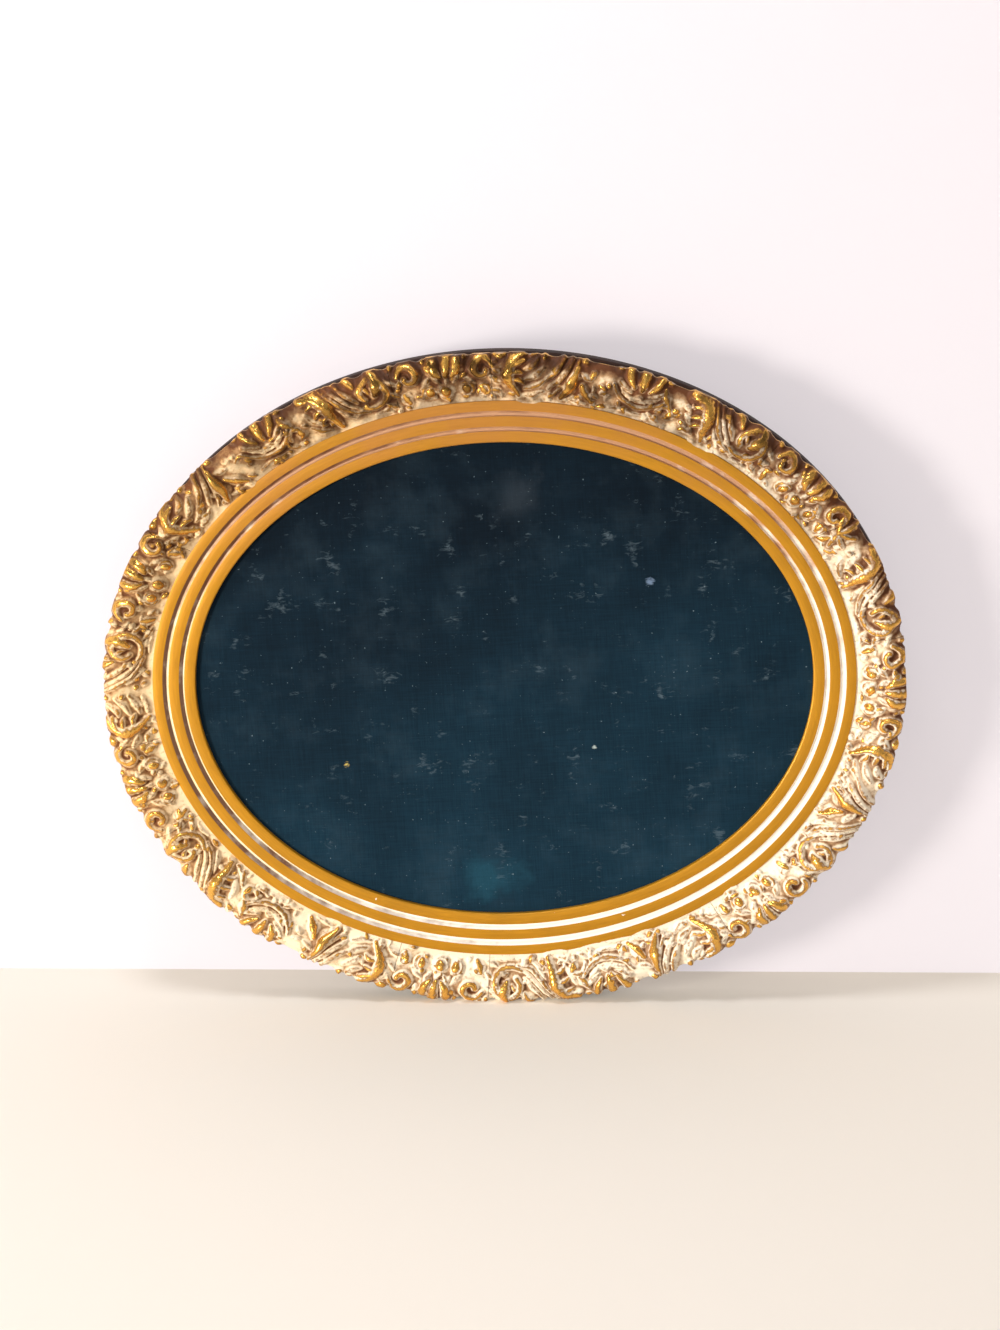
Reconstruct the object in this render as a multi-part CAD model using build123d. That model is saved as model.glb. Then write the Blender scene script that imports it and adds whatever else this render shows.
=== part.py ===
from build123d import *
import os
from bisect import bisect
from math import atan2, ceil, cos, degrees, hypot, pi, radians, sin

# Oval picture frame: a turned wooden moulding in two layers of four sawn segments each, with moulded
# composition ornament round the outside, a cloth covered board in the rebate, turn buttons that hold
# the board and two screw eyes with rings to hang it by.
#
# Millimetres. The frame hangs upright: X to the right, Z up, the wall is the plane Y = 0 and the front
# faces -Y. The origin is the centre of the oval, on the wall.
#
# A place on the moulding has three numbers: how far out it is from the sight edge, how far forward of
# the wall, and a clock angle in degrees, from the left end clockwise over the top. Every turned line is
# an ellipse whose two half sizes grow by the same amount, as an oval lathe cuts them.

# Opening and board
sight_width = 495.3
sight_height = 393.7
rebate_overlap = 6.35
board_play = 1.0
board_thickness = 4.0
cloth_thickness = 0.6
cloth_hem = 14.0
cloth_slack = 0.3
board_set_in = 0.3

# Widths of the turned bands, from the opening outwards
inner_band = 9.3
inner_cove = 3.9
middle_band = 8.5
outer_cove = 4.6
outer_band = 8.1
border_width = 37.1

# Depths of the turned profile
recess_depth = 12.0
lip_thickness = 4.5
sight_rounding = 1.4
band_step = 1.5
cove_depth = 1.6
cove_lip = 0.4
cove_slope = 1.2
border_step = 1.0
border_rise = 8.6
back_ring_width = 41.5
back_chamfer = 1.5

# Ornament castings
casting_thickness = 2.6
casting_overhang = 1.5
casting_joint = 0.4
glue_line = 0.25
relief_height = 7.5
motif_length = 100.0
floret_reach_before = 42.0
floret_reach_after = 35.5
section_spacing = 3.4
across_spacing = 2.8

# Screws, turn buttons and hanging rings
screw_radius = 1.5
screw_bite = 7.0
screw_head_radius = 3.2
screw_head_height = 1.9
screw_head_rounding = 1.2
pilot_clearance = 0.05
pivot_clearance = 0.08
button_out = 17.5
button_end_radius = 5.0
button_reach = 12.0
button_thickness = 1.2
button_gap = 0.2
button_chamfer = 0.25
eye_out = 16.0
eye_radius = 3.0
eye_wire = 0.9
eye_stand = 4.9
eye_shank = 1.2
eye_collar_radius = 2.0
eye_collar_height = 0.8
ring_radius = 8.0
ring_wire = 0.9
ring_seat = 0.3

# Places round the oval, as clock angles
face_joint_clocks = (-45.0, 45.0, 135.0, 225.0)
back_joint_clocks = (0.0, 90.0, 180.0, 270.0)
quarter = 90.0
full_turn = 360.0
floret_clocks = (23.5, 84.5, 144.5, 184.0, 229.0, 283.0, 343.5)
palmette_gaps = (0, 1, 4, 5)
leaf_after_gaps = (0, 1, 3, 4, 5, 6)
leaf_before_gaps = (0, 1, 2, 4, 5)
button_clocks = (0.0, 60.0, 120.0, 180.0, 240.0, 300.0)
eye_clocks = {"left": 28.0, "right": 152.0}

# Half sizes of the opening, and where each turned band ends
half_width = sight_width / 2
half_height = sight_height / 2
inner_band_edge = inner_band
middle_band_start = inner_band_edge + inner_cove
middle_band_edge = middle_band_start + middle_band
outer_band_start = middle_band_edge + outer_cove
outer_band_edge = outer_band_start + outer_band
outer_edge = outer_band_edge + border_width
board_edge = rebate_overlap
rebate_edge = board_edge + board_play
back_ring_edge = outer_edge - back_ring_width

# Heights forward of the wall
board_package = board_thickness + 2 * cloth_thickness
lip_back = recess_depth + board_package + board_set_in
inner_face = lip_back + lip_thickness
middle_face = inner_face + band_step
outer_face = middle_face + band_step
border_floor = outer_face - border_step
seat_floor = border_floor - casting_thickness
screw_head_seat = button_gap + button_thickness + button_gap

# The swell of the border across its width
crest_share = 0.72
edge_rise_share = 0.36
seat_steps = 12
ring_steps = 720


def turned_point(out, height, clock):
    """The point at a distance out, a height forward and a clock angle."""
    turn = radians(clock)
    return Vector(-(half_width + out) * cos(turn), -height, (half_height + out) * sin(turn))


def turned_line(out, height, clock_start, clock_end):
    """One turned line: an arc of an ellipse parallel to the wall."""
    plane = Plane((0, -height, 0), x_dir=(-1, 0, 0), z_dir=(0, 1, 0))
    return Edge.make_ellipse(
        half_width + out, half_height + out, plane, start_angle=clock_start, end_angle=clock_end
    )


def turned_face(line, neighbour):
    """The surface between two turned lines, which is a plane where both are as far from the wall."""
    if (line @ 0).Y != (neighbour @ 0).Y:
        return Face.make_surface_from_curves(line, neighbour)
    far_end = Edge.make_line(line @ 1, neighbour @ 1)
    near_end = Edge.make_line(neighbour @ 0, line @ 0)
    return Face(Wire([line, far_end, neighbour, near_end]))


def turned_bar(profile, clock_start, clock_end):
    """A length of moulding: the profile's points carried round the oval between two clock angles."""
    lines = [turned_line(out, height, clock_start, clock_end) for out, height in profile]
    faces = [turned_face(line, neighbour) for line, neighbour in zip(lines, lines[1:] + lines[:1])]
    for clock in (clock_start, clock_end):
        corners = [turned_point(out, height, clock) for out, height in profile]
        faces.append(Face(Wire.make_polygon(corners)))
    return Solid(Shell(faces))


def oval_plate(out, back, front):
    """A flat oval plate between two heights forward of the wall."""
    plane = Plane((0, -back, 0), x_dir=(-1, 0, 0), z_dir=(0, -1, 0))
    return extrude(plane * Ellipse(half_width + out, half_height + out), front - back)


def border_swell(share):
    """Rise of the border across its width: flat by the gilt band, then up to the crest and over it."""
    if share < crest_share:
        return (1 - cos(pi * share / crest_share)) / 2
    return 1 - (1 - edge_rise_share) * ((share - crest_share) / (1 - crest_share)) ** 2


def border_seat(across):
    """Height of the wood under the ornament at a distance across the border."""
    return seat_floor + border_rise * border_swell(across / border_width)


def border_walk():
    """Clock angles round the border, each with its distance along the border's middle."""
    middle = outer_band_edge + border_width / 2
    step = full_turn / ring_steps
    clocks = [-quarter]
    distances = [0.0]
    while clocks[-1] < full_turn + quarter:
        turn = radians(clocks[-1] + step / 2)
        speed = hypot((half_width + middle) * sin(turn), (half_height + middle) * cos(turn))
        clocks.append(clocks[-1] + step)
        distances.append(distances[-1] + speed * radians(step))
    return clocks, distances


walk_clocks, walk_distances = border_walk()


def between(value, known, wanted):
    """The wanted list's value where the known list has the given one."""
    index = min(max(bisect(known, value), 1), len(known) - 1)
    part = (value - known[index - 1]) / (known[index] - known[index - 1])
    return wanted[index - 1] + part * (wanted[index] - wanted[index - 1])


def distance_at(clock):
    """Distance along the border's middle at a clock angle."""
    return between(clock, walk_clocks, walk_distances)


def clock_at(distance):
    """Clock angle at a distance along the border's middle."""
    return between(distance, walk_distances, walk_clocks)


# Wooden moulding
def face_profile():
    """The front layer: lip, three gilt bands with two coves between them, and the seat of the ornament."""
    bands = [
        (0, lip_back),
        (0, inner_face - sight_rounding),
        (sight_rounding / 3, inner_face - sight_rounding / 3),
        (sight_rounding, inner_face),
        (inner_band_edge, inner_face),
        (inner_band_edge + cove_lip, inner_face - cove_depth),
        (middle_band_start - cove_slope, inner_face - cove_depth),
        (middle_band_start, middle_face),
        (middle_band_edge, middle_face),
        (middle_band_edge + cove_lip, middle_face - cove_depth),
        (outer_band_start - cove_slope, middle_face - cove_depth),
        (outer_band_start, outer_face),
        (outer_band_edge, outer_face),
    ]
    seat_places = [border_width * step / seat_steps for step in range(seat_steps + 1)]
    seat = [(outer_band_edge + across, border_seat(across)) for across in seat_places]
    back = [(outer_edge, recess_depth), (rebate_edge, recess_depth), (rebate_edge, lip_back)]
    return bands + seat + back


def back_profile():
    """The back layer: a plain ring that gives the frame its depth."""
    return [
        (back_ring_edge, 0),
        (back_ring_edge, recess_depth),
        (outer_edge, recess_depth),
        (outer_edge, back_chamfer),
        (outer_edge - back_chamfer, 0),
    ]


def recess_spot(out, clock, rise=0.0):
    """A place on the back of the front layer, with z out of it towards the wall."""
    point = turned_point(out, recess_depth - rise, clock)
    inward = turned_point(out, recess_depth - rise, clock + 2 * quarter) - point
    return Plane(point, x_dir=inward, z_dir=(0, 1, 0))


def pilot_holes():
    """The holes that the screws and the eyes are driven into."""
    holes = []
    for clock in button_clocks:
        spot = recess_spot(button_out, clock, -screw_bite - pilot_clearance)
        depth = screw_bite + pilot_clearance
        hole = Solid.make_cylinder(screw_radius + pilot_clearance, depth, spot)
        holes.append(hole)
    for clock in eye_clocks.values():
        spot = recess_spot(eye_out, clock, -screw_bite - pilot_clearance)
        depth = screw_bite + pilot_clearance
        holes.append(Solid.make_cylinder(eye_shank + pilot_clearance, depth, spot))
    return holes


def face_segments():
    """Four sawn segments of the front layer, butted on the diagonals."""
    holes = pilot_holes()
    for number, clock in enumerate(face_joint_clocks, start=1):
        segment = turned_bar(face_profile(), clock, clock + quarter)
        yield f"face_segment_{number}", segment.cut(*holes)


def back_segments():
    """Four sawn segments of the back layer, butted at the ends and at top and bottom."""
    for number, clock in enumerate(back_joint_clocks, start=1):
        yield f"back_segment_{number}", turned_bar(back_profile(), clock, clock + quarter)


# Relief of the ornament
#
# Each form is a drop or an arc, and stands on the ground with a rounded section. Places along the border
# are shares of the motif length from a floret or a palmette, clockwise; places across it are shares of
# the border's width from the gilt band, and so are radii. Heights are shares of the relief height.
#
# A drop: foot along and across, tip along and across, radius, height.
# An arc: centre along and across, radius, half width of the bar, start and sweep in degrees, height.
floret_drop_shares = (
    (-0.065, 0.88, -0.050, 0.92, 0.12, 0.95),
    (0.010, 0.90, 0.020, 0.97, 0.12, 1.00),
    (0.085, 0.88, 0.075, 0.92, 0.12, 0.95),
    (-0.085, 0.76, -0.060, 0.56, 0.06, 0.45),
    (0.105, 0.76, 0.075, 0.56, 0.06, 0.45),
    (-0.295, 0.66, -0.290, 0.66, 0.09, 0.60),
    (0.310, 0.66, 0.305, 0.66, 0.09, 0.60),
    (-0.340, 0.32, -0.320, 0.22, 0.07, 0.55),
    (-0.130, 0.30, -0.130, 0.30, 0.09, 0.65),
    (-0.014, 0.28, -0.012, 0.28, 0.11, 0.75),
    (0.140, 0.30, 0.140, 0.30, 0.09, 0.65),
    (0.290, 0.24, 0.310, 0.30, 0.08, 0.55),
)
floret_arc_shares = (
    (-0.270, 0.75, 0.19, 0.080, 140.0, -270.0, 0.80),
    (0.285, 0.74, 0.19, 0.080, 40.0, 270.0, 0.80),
    (-0.130, 0.30, 0.15, 0.040, 70.0, 220.0, 0.40),
    (0.140, 0.30, 0.15, 0.040, 110.0, -220.0, 0.40),
)
leaf_after_drop_shares = (
    (0.410, 0.96, 0.430, 0.94, 0.09, 0.70),
    (0.520, 0.86, 0.600, 0.88, 0.07, 0.75),
    (0.500, 0.66, 0.590, 0.62, 0.07, 0.75),
    (0.530, 0.42, 0.610, 0.34, 0.07, 0.65),
)
leaf_after_arc_shares = ((0.650, 0.62, 0.45, 0.105, 125.0, 112.0, 1.00),)
foliage_drop_shares = (
    (0.640, 0.38, 0.780, 0.32, 0.09, 0.55),
    (0.660, 0.64, 0.760, 0.82, 0.09, 0.60),
    (0.700, 0.48, 0.800, 0.60, 0.08, 0.55),
    (0.820, 0.38, 1.000, 0.94, 0.07, 0.75),
    (0.780, 0.60, 0.940, 0.96, 0.07, 0.70),
    (0.985, 0.72, 0.940, 0.24, 0.11, 1.00),
    (1.060, 0.44, 1.150, 0.16, 0.08, 0.70),
)
palmette_drop_shares = (
    (-0.110, 0.90, -0.050, 0.48, 0.10, 0.70),
    (0.000, 0.96, 0.000, 0.46, 0.10, 0.80),
    (0.110, 0.90, 0.050, 0.48, 0.10, 0.70),
    (0.160, 0.82, 0.220, 0.54, 0.08, 0.65),
    (0.270, 0.38, 0.275, 0.38, 0.08, 0.60),
)
palmette_arc_shares = (
    (0.000, 0.86, 0.56, 0.060, 200.0, 140.0, 0.60),
    (0.240, 0.36, 0.17, 0.050, 180.0, 180.0, 0.45),
)
leaf_before_arc_shares = ((-1.080, 0.57, 0.43, 0.105, 90.0, -140.0, 1.00),)
volute_drop_shares = (
    (-0.930, 0.96, -0.840, 0.60, 0.06, 0.65),
    (-0.840, 0.60, -0.700, 0.24, 0.06, 0.65),
    (-0.860, 0.96, -0.780, 0.66, 0.05, 0.55),
    (-0.780, 0.66, -0.680, 0.38, 0.05, 0.55),
    (-0.575, 0.72, -0.570, 0.72, 0.13, 0.95),
)
volute_arc_shares = ((-0.600, 0.60, 0.35, 0.085, -120.0, 270.0, 0.85),)


def placed_drops(origin, shares):
    """Drops in millimetres, from their shares and the place that they are counted from."""
    return [
        (
            origin + foot_along * motif_length,
            foot_across * border_width,
            origin + tip_along * motif_length,
            tip_across * border_width,
            radius * border_width,
            height * relief_height,
        )
        for foot_along, foot_across, tip_along, tip_across, radius, height in shares
    ]


def placed_arcs(origin, shares):
    """Arcs in millimetres, from their shares and the place that they are counted from."""
    return [
        (
            origin + along * motif_length,
            across * border_width,
            radius * border_width,
            bar * border_width,
            start,
            sweep,
            height * relief_height,
        )
        for along, across, radius, bar, start, sweep, height in shares
    ]


def rounded(distance_share, height):
    """Height of a form's rounded section at a share of its half width from its middle."""
    return height * (1 - min(distance_share, 1) ** 2) ** 1.5


def drop_height(along, across, drop):
    """Height of a drop above the ground: widest at its foot, and half as wide at its tip."""
    foot_along, foot_across, tip_along, tip_across, radius, height = drop
    run, rise = tip_along - foot_along, tip_across - foot_across
    part = ((along - foot_along) * run + (across - foot_across) * rise) / (run * run + rise * rise or 1)
    part = min(max(part, 0), 1)
    away = hypot(along - foot_along - part * run, across - foot_across - part * rise)
    return rounded(away / (radius * (1 - part / 2)), height)


def arc_height(along, across, arc):
    """Height of an arc above the ground, with rounded ends."""
    centre_along, centre_across, radius, bar, start, sweep, height = arc
    angle = degrees(atan2(across - centre_across, along - centre_along))
    turned = (angle - start) * (1 if sweep > 0 else -1) % full_turn
    if turned > abs(sweep):
        turned = 0 if turned > (full_turn + abs(sweep)) / 2 else abs(sweep)
    nearest = radians(start + turned * (1 if sweep > 0 else -1))
    away = hypot(
        along - centre_along - radius * cos(nearest),
        across - centre_across - radius * sin(nearest),
    )
    return rounded(away / bar, height)


def relief_forms():
    """All drops and all arcs round the border."""
    drops, arcs = [], []
    places = [distance_at(clock) for clock in floret_clocks]
    lap = distance_at(full_turn) - distance_at(0)
    for index, place in enumerate(places):
        following = places[index + 1] if index + 1 < len(places) else places[0] + lap
        drops += placed_drops(place, floret_drop_shares)
        arcs += placed_arcs(place, floret_arc_shares)
        drops += placed_drops(following, volute_drop_shares)
        arcs += placed_arcs(following, volute_arc_shares)
        if index in leaf_after_gaps:
            drops += placed_drops(place, leaf_after_drop_shares)
            arcs += placed_arcs(place, leaf_after_arc_shares)
        if index in leaf_before_gaps:
            arcs += placed_arcs(following, leaf_before_arc_shares)
        if index in palmette_gaps:
            drops += placed_drops(place, foliage_drop_shares)
            drops += placed_drops((place + following) / 2, palmette_drop_shares)
            arcs += placed_arcs((place + following) / 2, palmette_arc_shares)
    return drops, arcs


# Ornament castings
def casting_section(distance, drops, arcs):
    """The section of a casting at a distance along the border."""
    clock = clock_at(distance)
    start = glue_line
    end = border_width + casting_overhang
    steps = ceil((end - start) / across_spacing)
    top, bottom = [], []
    for step in range(steps + 1):
        across = start + (end - start) * step / steps
        relief = [drop_height(distance, across, drop) for drop in drops]
        relief += [arc_height(distance, across, arc) for arc in arcs]
        ground = border_seat(across)
        out = outer_band_edge + across
        top.append(turned_point(out, ground + casting_thickness + max(relief, default=0), clock))
        bottom.append(turned_point(out, ground + glue_line, clock))
    bottom.reverse()
    knots = [step / steps for step in range(steps + 1)]
    edges = [
        Edge.make_spline(top, parameters=knots),
        Edge.make_line(top[-1], bottom[0]),
        Edge.make_spline(bottom, parameters=knots),
        Edge.make_line(bottom[-1], top[0]),
    ]
    return Wire(edges)


def casting(start, end, drops, arcs):
    """One casting between two distances along the border, lofted through its sections."""
    start += casting_joint / 2
    end -= casting_joint / 2
    reach = 2 * border_width
    near_drops = [drop for drop in drops if start - reach < drop[0] < end + reach]
    near_arcs = [arc for arc in arcs if start - reach < arc[0] < end + reach]
    steps = ceil((end - start) / section_spacing)
    places = [start + (end - start) * step / steps for step in range(steps + 1)]
    sections = [casting_section(place, near_drops, near_arcs) for place in places]
    return Solid.make_loft(sections, ruled=True)


def castings():
    """The ornament in turn round the oval: a floret, then the leaves up to the next floret."""
    drops, arcs = relief_forms()
    lap = distance_at(full_turn) - distance_at(0)
    places = [distance_at(clock) for clock in floret_clocks]
    places.append(places[0] + lap)
    # a form beyond the last floret is also wanted a lap earlier, and the other way round
    drops += [(foot + shift, a, tip + shift, *rest) for foot, a, tip, *rest in drops for shift in (-lap, lap)]
    arcs += [(centre + shift, *rest) for centre, *rest in arcs for shift in (-lap, lap)]
    for number, (place, following) in enumerate(zip(places, places[1:]), start=1):
        start = place - floret_reach_before
        joint = place + floret_reach_after
        end = following - floret_reach_before
        yield f"floret_casting_{number}", casting(start, joint, drops, arcs)
        yield f"leaf_casting_{number}", casting(joint, end, drops, arcs)


# Board and cloth
def backing_board():
    """The oval board in the rebate."""
    back = recess_depth + board_set_in + cloth_thickness
    return oval_plate(board_edge - cloth_thickness - cloth_slack, back, back + board_thickness)


def board_cloth():
    """The cloth on the board's face, turned over its rim and glued down in a hem at the back."""
    back = recess_depth + board_set_in
    outside = oval_plate(board_edge, back, lip_back)
    room = oval_plate(board_edge - cloth_thickness, back + cloth_thickness, lip_back - cloth_thickness)
    hem_opening = oval_plate(board_edge - cloth_hem, back, back + cloth_thickness)
    return outside - room - hem_opening


# Turn buttons and their screws
def turn_button(clock):
    """A flat brass button on its screw, pointing in over the board's rim."""
    spot = recess_spot(button_out, clock, button_gap)
    slot = SlotCenterPoint((button_reach / 2, 0), (button_reach, 0), 2 * button_end_radius)
    plate = extrude(spot * slot, button_thickness)
    plate = chamfer(plate.edges().group_by(Axis.Y)[-1], button_chamfer)
    return plate - Solid.make_cylinder(screw_radius + pivot_clearance, button_thickness, spot)


def button_screw(clock):
    """A round headed screw through a button into the wood."""
    spot = recess_spot(button_out, clock, -screw_bite)
    shank = Solid.make_cylinder(screw_radius, screw_bite + screw_head_seat, spot)
    head_spot = recess_spot(button_out, clock, screw_head_seat)
    head = Solid.make_cylinder(screw_head_radius, screw_head_height, head_spot)
    head = fillet(head.edges().group_by(Axis.Y)[-1], screw_head_rounding)
    return shank + head


# Screw eyes and hanging rings
def eye_centre(clock):
    """The centre of a screw eye's hole."""
    return turned_point(eye_out, recess_depth - eye_stand, clock)


def screw_eye(clock):
    """A wire eye on a screw shank, with its hole across the frame."""
    loop = Solid.make_torus(eye_radius, eye_wire, Plane(eye_centre(clock), z_dir=(1, 0, 0)))
    shank_length = screw_bite + eye_stand - eye_radius
    shank = Solid.make_cylinder(eye_shank, shank_length, recess_spot(eye_out, clock, -screw_bite))
    collar = Solid.make_cylinder(eye_collar_radius, eye_collar_height, recess_spot(eye_out, clock))
    return loop.fuse(shank, collar)


def hanging_ring(clock):
    """A wire ring that hangs in its eye and swings about the wire inside it."""
    drop = eye_radius - eye_wire - ring_wire - ring_seat
    centre = eye_centre(clock) - Vector(0, 0, drop + ring_radius)
    return Solid.make_torus(ring_radius, ring_wire, Plane(centre, z_dir=(0, 1, 0)))


def pieces():
    """Every piece by its name."""
    yield from face_segments()
    yield from back_segments()
    yield from castings()
    yield "backing_board", backing_board()
    yield "board_cloth", board_cloth()
    for number, clock in enumerate(button_clocks, start=1):
        yield f"turn_button_{number}", turn_button(clock)
    yield "button_screws", Compound(children=[button_screw(clock) for clock in button_clocks])
    for side, clock in eye_clocks.items():
        yield f"screw_eye_{side}", screw_eye(clock)
        yield f"hanging_ring_{side}", hanging_ring(clock)


if __name__ == "__main__":
    os.makedirs("parts", exist_ok=True)
    for name, piece in pieces():
        export_step(piece, f"parts/{name}.step")
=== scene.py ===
"""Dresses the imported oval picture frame: gilt moulding, moulded ornament, stained back, cloth and fittings.

Lengths are metres. A place on the frame has three numbers: how far out it is from the sight edge, how far
forward of the wall, and a clock angle in radians from the left end clockwise over the top.
"""
from math import atan2, ceil, cos, hypot, pi, radians, sin, tau
from types import SimpleNamespace

import bmesh
import bpy
import numpy as np
from bpy.props import FloatProperty, FloatVectorProperty, IntProperty, PointerProperty
from mathutils import Matrix, Vector


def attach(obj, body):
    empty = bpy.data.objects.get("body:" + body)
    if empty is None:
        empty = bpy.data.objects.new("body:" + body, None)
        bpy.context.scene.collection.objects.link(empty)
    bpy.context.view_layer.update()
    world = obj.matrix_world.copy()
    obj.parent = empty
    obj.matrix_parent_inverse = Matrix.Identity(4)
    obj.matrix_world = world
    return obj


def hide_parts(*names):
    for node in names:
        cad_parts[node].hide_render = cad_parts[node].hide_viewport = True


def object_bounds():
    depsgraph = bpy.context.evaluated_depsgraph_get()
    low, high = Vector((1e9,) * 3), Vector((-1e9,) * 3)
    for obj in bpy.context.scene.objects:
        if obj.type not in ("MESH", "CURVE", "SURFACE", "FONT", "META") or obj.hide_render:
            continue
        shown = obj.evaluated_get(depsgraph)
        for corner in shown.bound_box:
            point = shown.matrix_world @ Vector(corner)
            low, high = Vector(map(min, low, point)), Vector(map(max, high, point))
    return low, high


bl_info = {
    "name": "Oval picture frame",
    "version": (1, 0, 0),
    "blender": (4, 5, 0),
    "location": "3D View > Sidebar > Oval frame",
    "description": "Builds the gilding, ornament, cloth and fittings of an oval picture frame",
    "category": "Add Mesh",
}

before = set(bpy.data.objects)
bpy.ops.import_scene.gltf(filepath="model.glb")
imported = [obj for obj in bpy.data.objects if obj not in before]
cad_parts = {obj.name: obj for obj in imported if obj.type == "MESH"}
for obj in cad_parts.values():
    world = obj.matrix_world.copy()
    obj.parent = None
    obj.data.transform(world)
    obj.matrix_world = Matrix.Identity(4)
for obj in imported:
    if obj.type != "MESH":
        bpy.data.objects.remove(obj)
cad_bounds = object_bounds()

MM = 0.001
BODY = "frame"

# Places round the oval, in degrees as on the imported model
FACE_JOINTS = (-45, 45, 135, 225)
BACK_JOINTS = (0, 90, 180, 270)
FLORETS = (23.5, 84.5, 144.5, 184.0, 229.0, 283.0, 343.5)
SCREWS = (0, 60, 120, 180, 240, 300)

# Marks on the cloth: place from the middle and radius in millimetres, strength and colour
CLOTH_MARKS = (
    ((-131, -65), 2.4, 0.9, "D8BE62"),
    ((-20, -165), 24, 0.2, "2F6C80"),
    ((121, 77), 3.2, 0.45, "8FA6C4"),
    ((18, 151), 22, 0.06, "7F8C98"),
    ((70, -58), 1.8, 0.7, "B9C6C0"),
)

# Soft lamps: place and size in metres, power in watts and tint
LAMPS = {
    "key": ((-2.3, -2.1, 0.25), 0.75, 112, (1.0, 0.97, 0.92)),
    "fill": ((0.3, -2.6, 0.7), 1.4, 7, (1.0, 0.96, 0.9)),
    "top": ((-0.3, -0.45, 2.0), 0.5, 20, (0.88, 0.91, 1.0)),
}


def linear(code):
    """The linear colour of an sRGB hex value."""
    channels = [int(code[place:place + 2], 16) / 255 for place in (0, 2, 4)]
    return [c / 12.92 if c <= 0.04045 else ((c + 0.055) / 1.055) ** 2.4 for c in channels]


def length(name, description, millimetres):
    """A length that a user can change."""
    return FloatProperty(name=name, description=description, default=millimetres * MM, unit="LENGTH")


def colour(name, description, code):
    """A colour that a user can change."""
    return FloatVectorProperty(
        name=name, description=description, default=linear(code), subtype="COLOR", size=3, min=0, max=1
    )


class MouldingSettings(bpy.types.PropertyGroup):
    """Sizes and colours of the turned moulding"""

    sight_width: length("Sight width", "Width of the opening", 495.3)
    sight_height: length("Sight height", "Height of the opening", 393.7)
    inner_band: length("Inner band", "Width of the gilt band beside the opening", 9.3)
    inner_cove: length("Inner cove", "Width of the cove beside the inner band", 3.9)
    middle_band: length("Middle band", "Width of the middle gilt band", 8.5)
    outer_cove: length("Outer cove", "Width of the cove beside the outer band", 4.6)
    outer_band: length("Outer band", "Width of the gilt band beside the ornament", 8.1)
    border: length("Border", "Width of the border that carries the ornament", 37.1)
    recess_depth: length("Recess depth", "Depth of the back ring", 12.0)
    lip_back: length("Lip back", "How far forward of the wall the back of the lip is", 17.5)
    lip: length("Lip", "Thickness of the lip in front of the cloth", 4.5)
    band_step: length("Band step", "How far each band stands above the one inside it", 1.5)
    cove_depth: length("Cove depth", "How far a cove's floor is below the band inside it", 1.6)
    cove_slope: length("Cove slope", "Width of a cove's slope up to the next band", 1.7)
    arris: length("Arris", "Rounding of the moulding's edges", 0.35)
    rebate: length("Rebate", "How far the rebate reaches out past the sight edge", 7.35)
    back_ring: length("Back ring", "Width of the back ring", 41.5)
    gilt: colour("Gilt", "Bronze paint of the bands", "C2860A")
    # painted shade: the darker, browner bronze along the top
    shaded_gilt: colour("Tarnish", "Bronze paint that has gone brown", "A66B34")
    cream: colour("Cream", "Cream paint of the coves", "F6ECDC")
    yellowed: colour("Yellowed", "Yellowed cream paint in the coves", "E9D09C")
    # painted shade: the brown on the cove paint along the top
    brown_shade: colour("Browned", "Cream paint that has gone brown", "B88A66")
    # painted shade with some dirt: the dark brown on the cove slopes, heaviest on the left
    shade_and_grime: colour("Grime", "Brown dirt along the coves", "683A1C")
    stain: colour("Stain", "Dark stain of the side wall", "2E1A0F")
    bare_wood: colour("Bare wood", "Aged wood inside the rebate", "8A6238")


class OrnamentSettings(bpy.types.PropertyGroup):
    """Sizes and colours of the moulded ornament"""

    seat: length("Seat", "How far forward of the wall the wood under the ornament starts", 21.4)
    rise: length("Rise", "How far the border swells forward", 8.6)
    thickness: length("Thickness", "Thickness of a casting's ground", 2.6)
    relief: length("Relief", "Height of the tallest forms above the ground", 7.5)
    overhang: length("Overhang", "How far forms reach over the outer edge", 2.6)
    joint: length("Joint", "Gap between two castings", 0.4)
    glue: length("Glue", "Thickness of the glue under a casting", 0.25)
    spacing: length("Spacing", "Distance between the points of the relief", 0.6)
    cream: colour("Cream", "Cream paint of the ornament", "F8EAD0")
    yellowed: colour("Yellowed", "Cream paint that has yellowed", "E3C595")
    thin_wash: colour("Thin wash", "Brown wash where it lies thinly", "BC8B52")
    wash: colour("Wash", "Brown wash in the hollows", "55250B")
    # painted shade: the dark patchy coat along the top
    shade: colour("Glaze", "Dark glaze along the top", "3C2414")
    bronze: colour("Bronze", "Bronze rubbed thinly round the high points", "7C4C18")
    gilt: colour("Gilt", "Gold rubbed on the high points", "ECB356")


class ClothSettings(bpy.types.PropertyGroup):
    """Sizes and colours of the cloth and its board"""

    cover: length("Cover", "How far the cloth covered board reaches out past the sight edge", 6.35)
    wrap: length("Wrap", "Depth of the board's edge that the cloth wraps", 5.2)
    hem: length("Hem", "Width of the hem glued down at the back", 14.0)
    thickness: length("Thickness", "Thickness of the cloth", 0.5)
    hollow: length("Hollow", "How far the cloth wanders behind its plane", 0.35)
    thread: length("Thread", "Distance between threads, as coarse as it needs to show", 1.1)
    dye: colour("Dye", "Blue black dye", "0D212F")
    dust: colour("Dust", "Dust and rubbed specks", "8FA3AD")
    board: colour("Board", "Brown fibre board", "A07C50")
    fibres: colour("Fibres", "Dark fibres and stains of the board", "5E4226")


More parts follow.
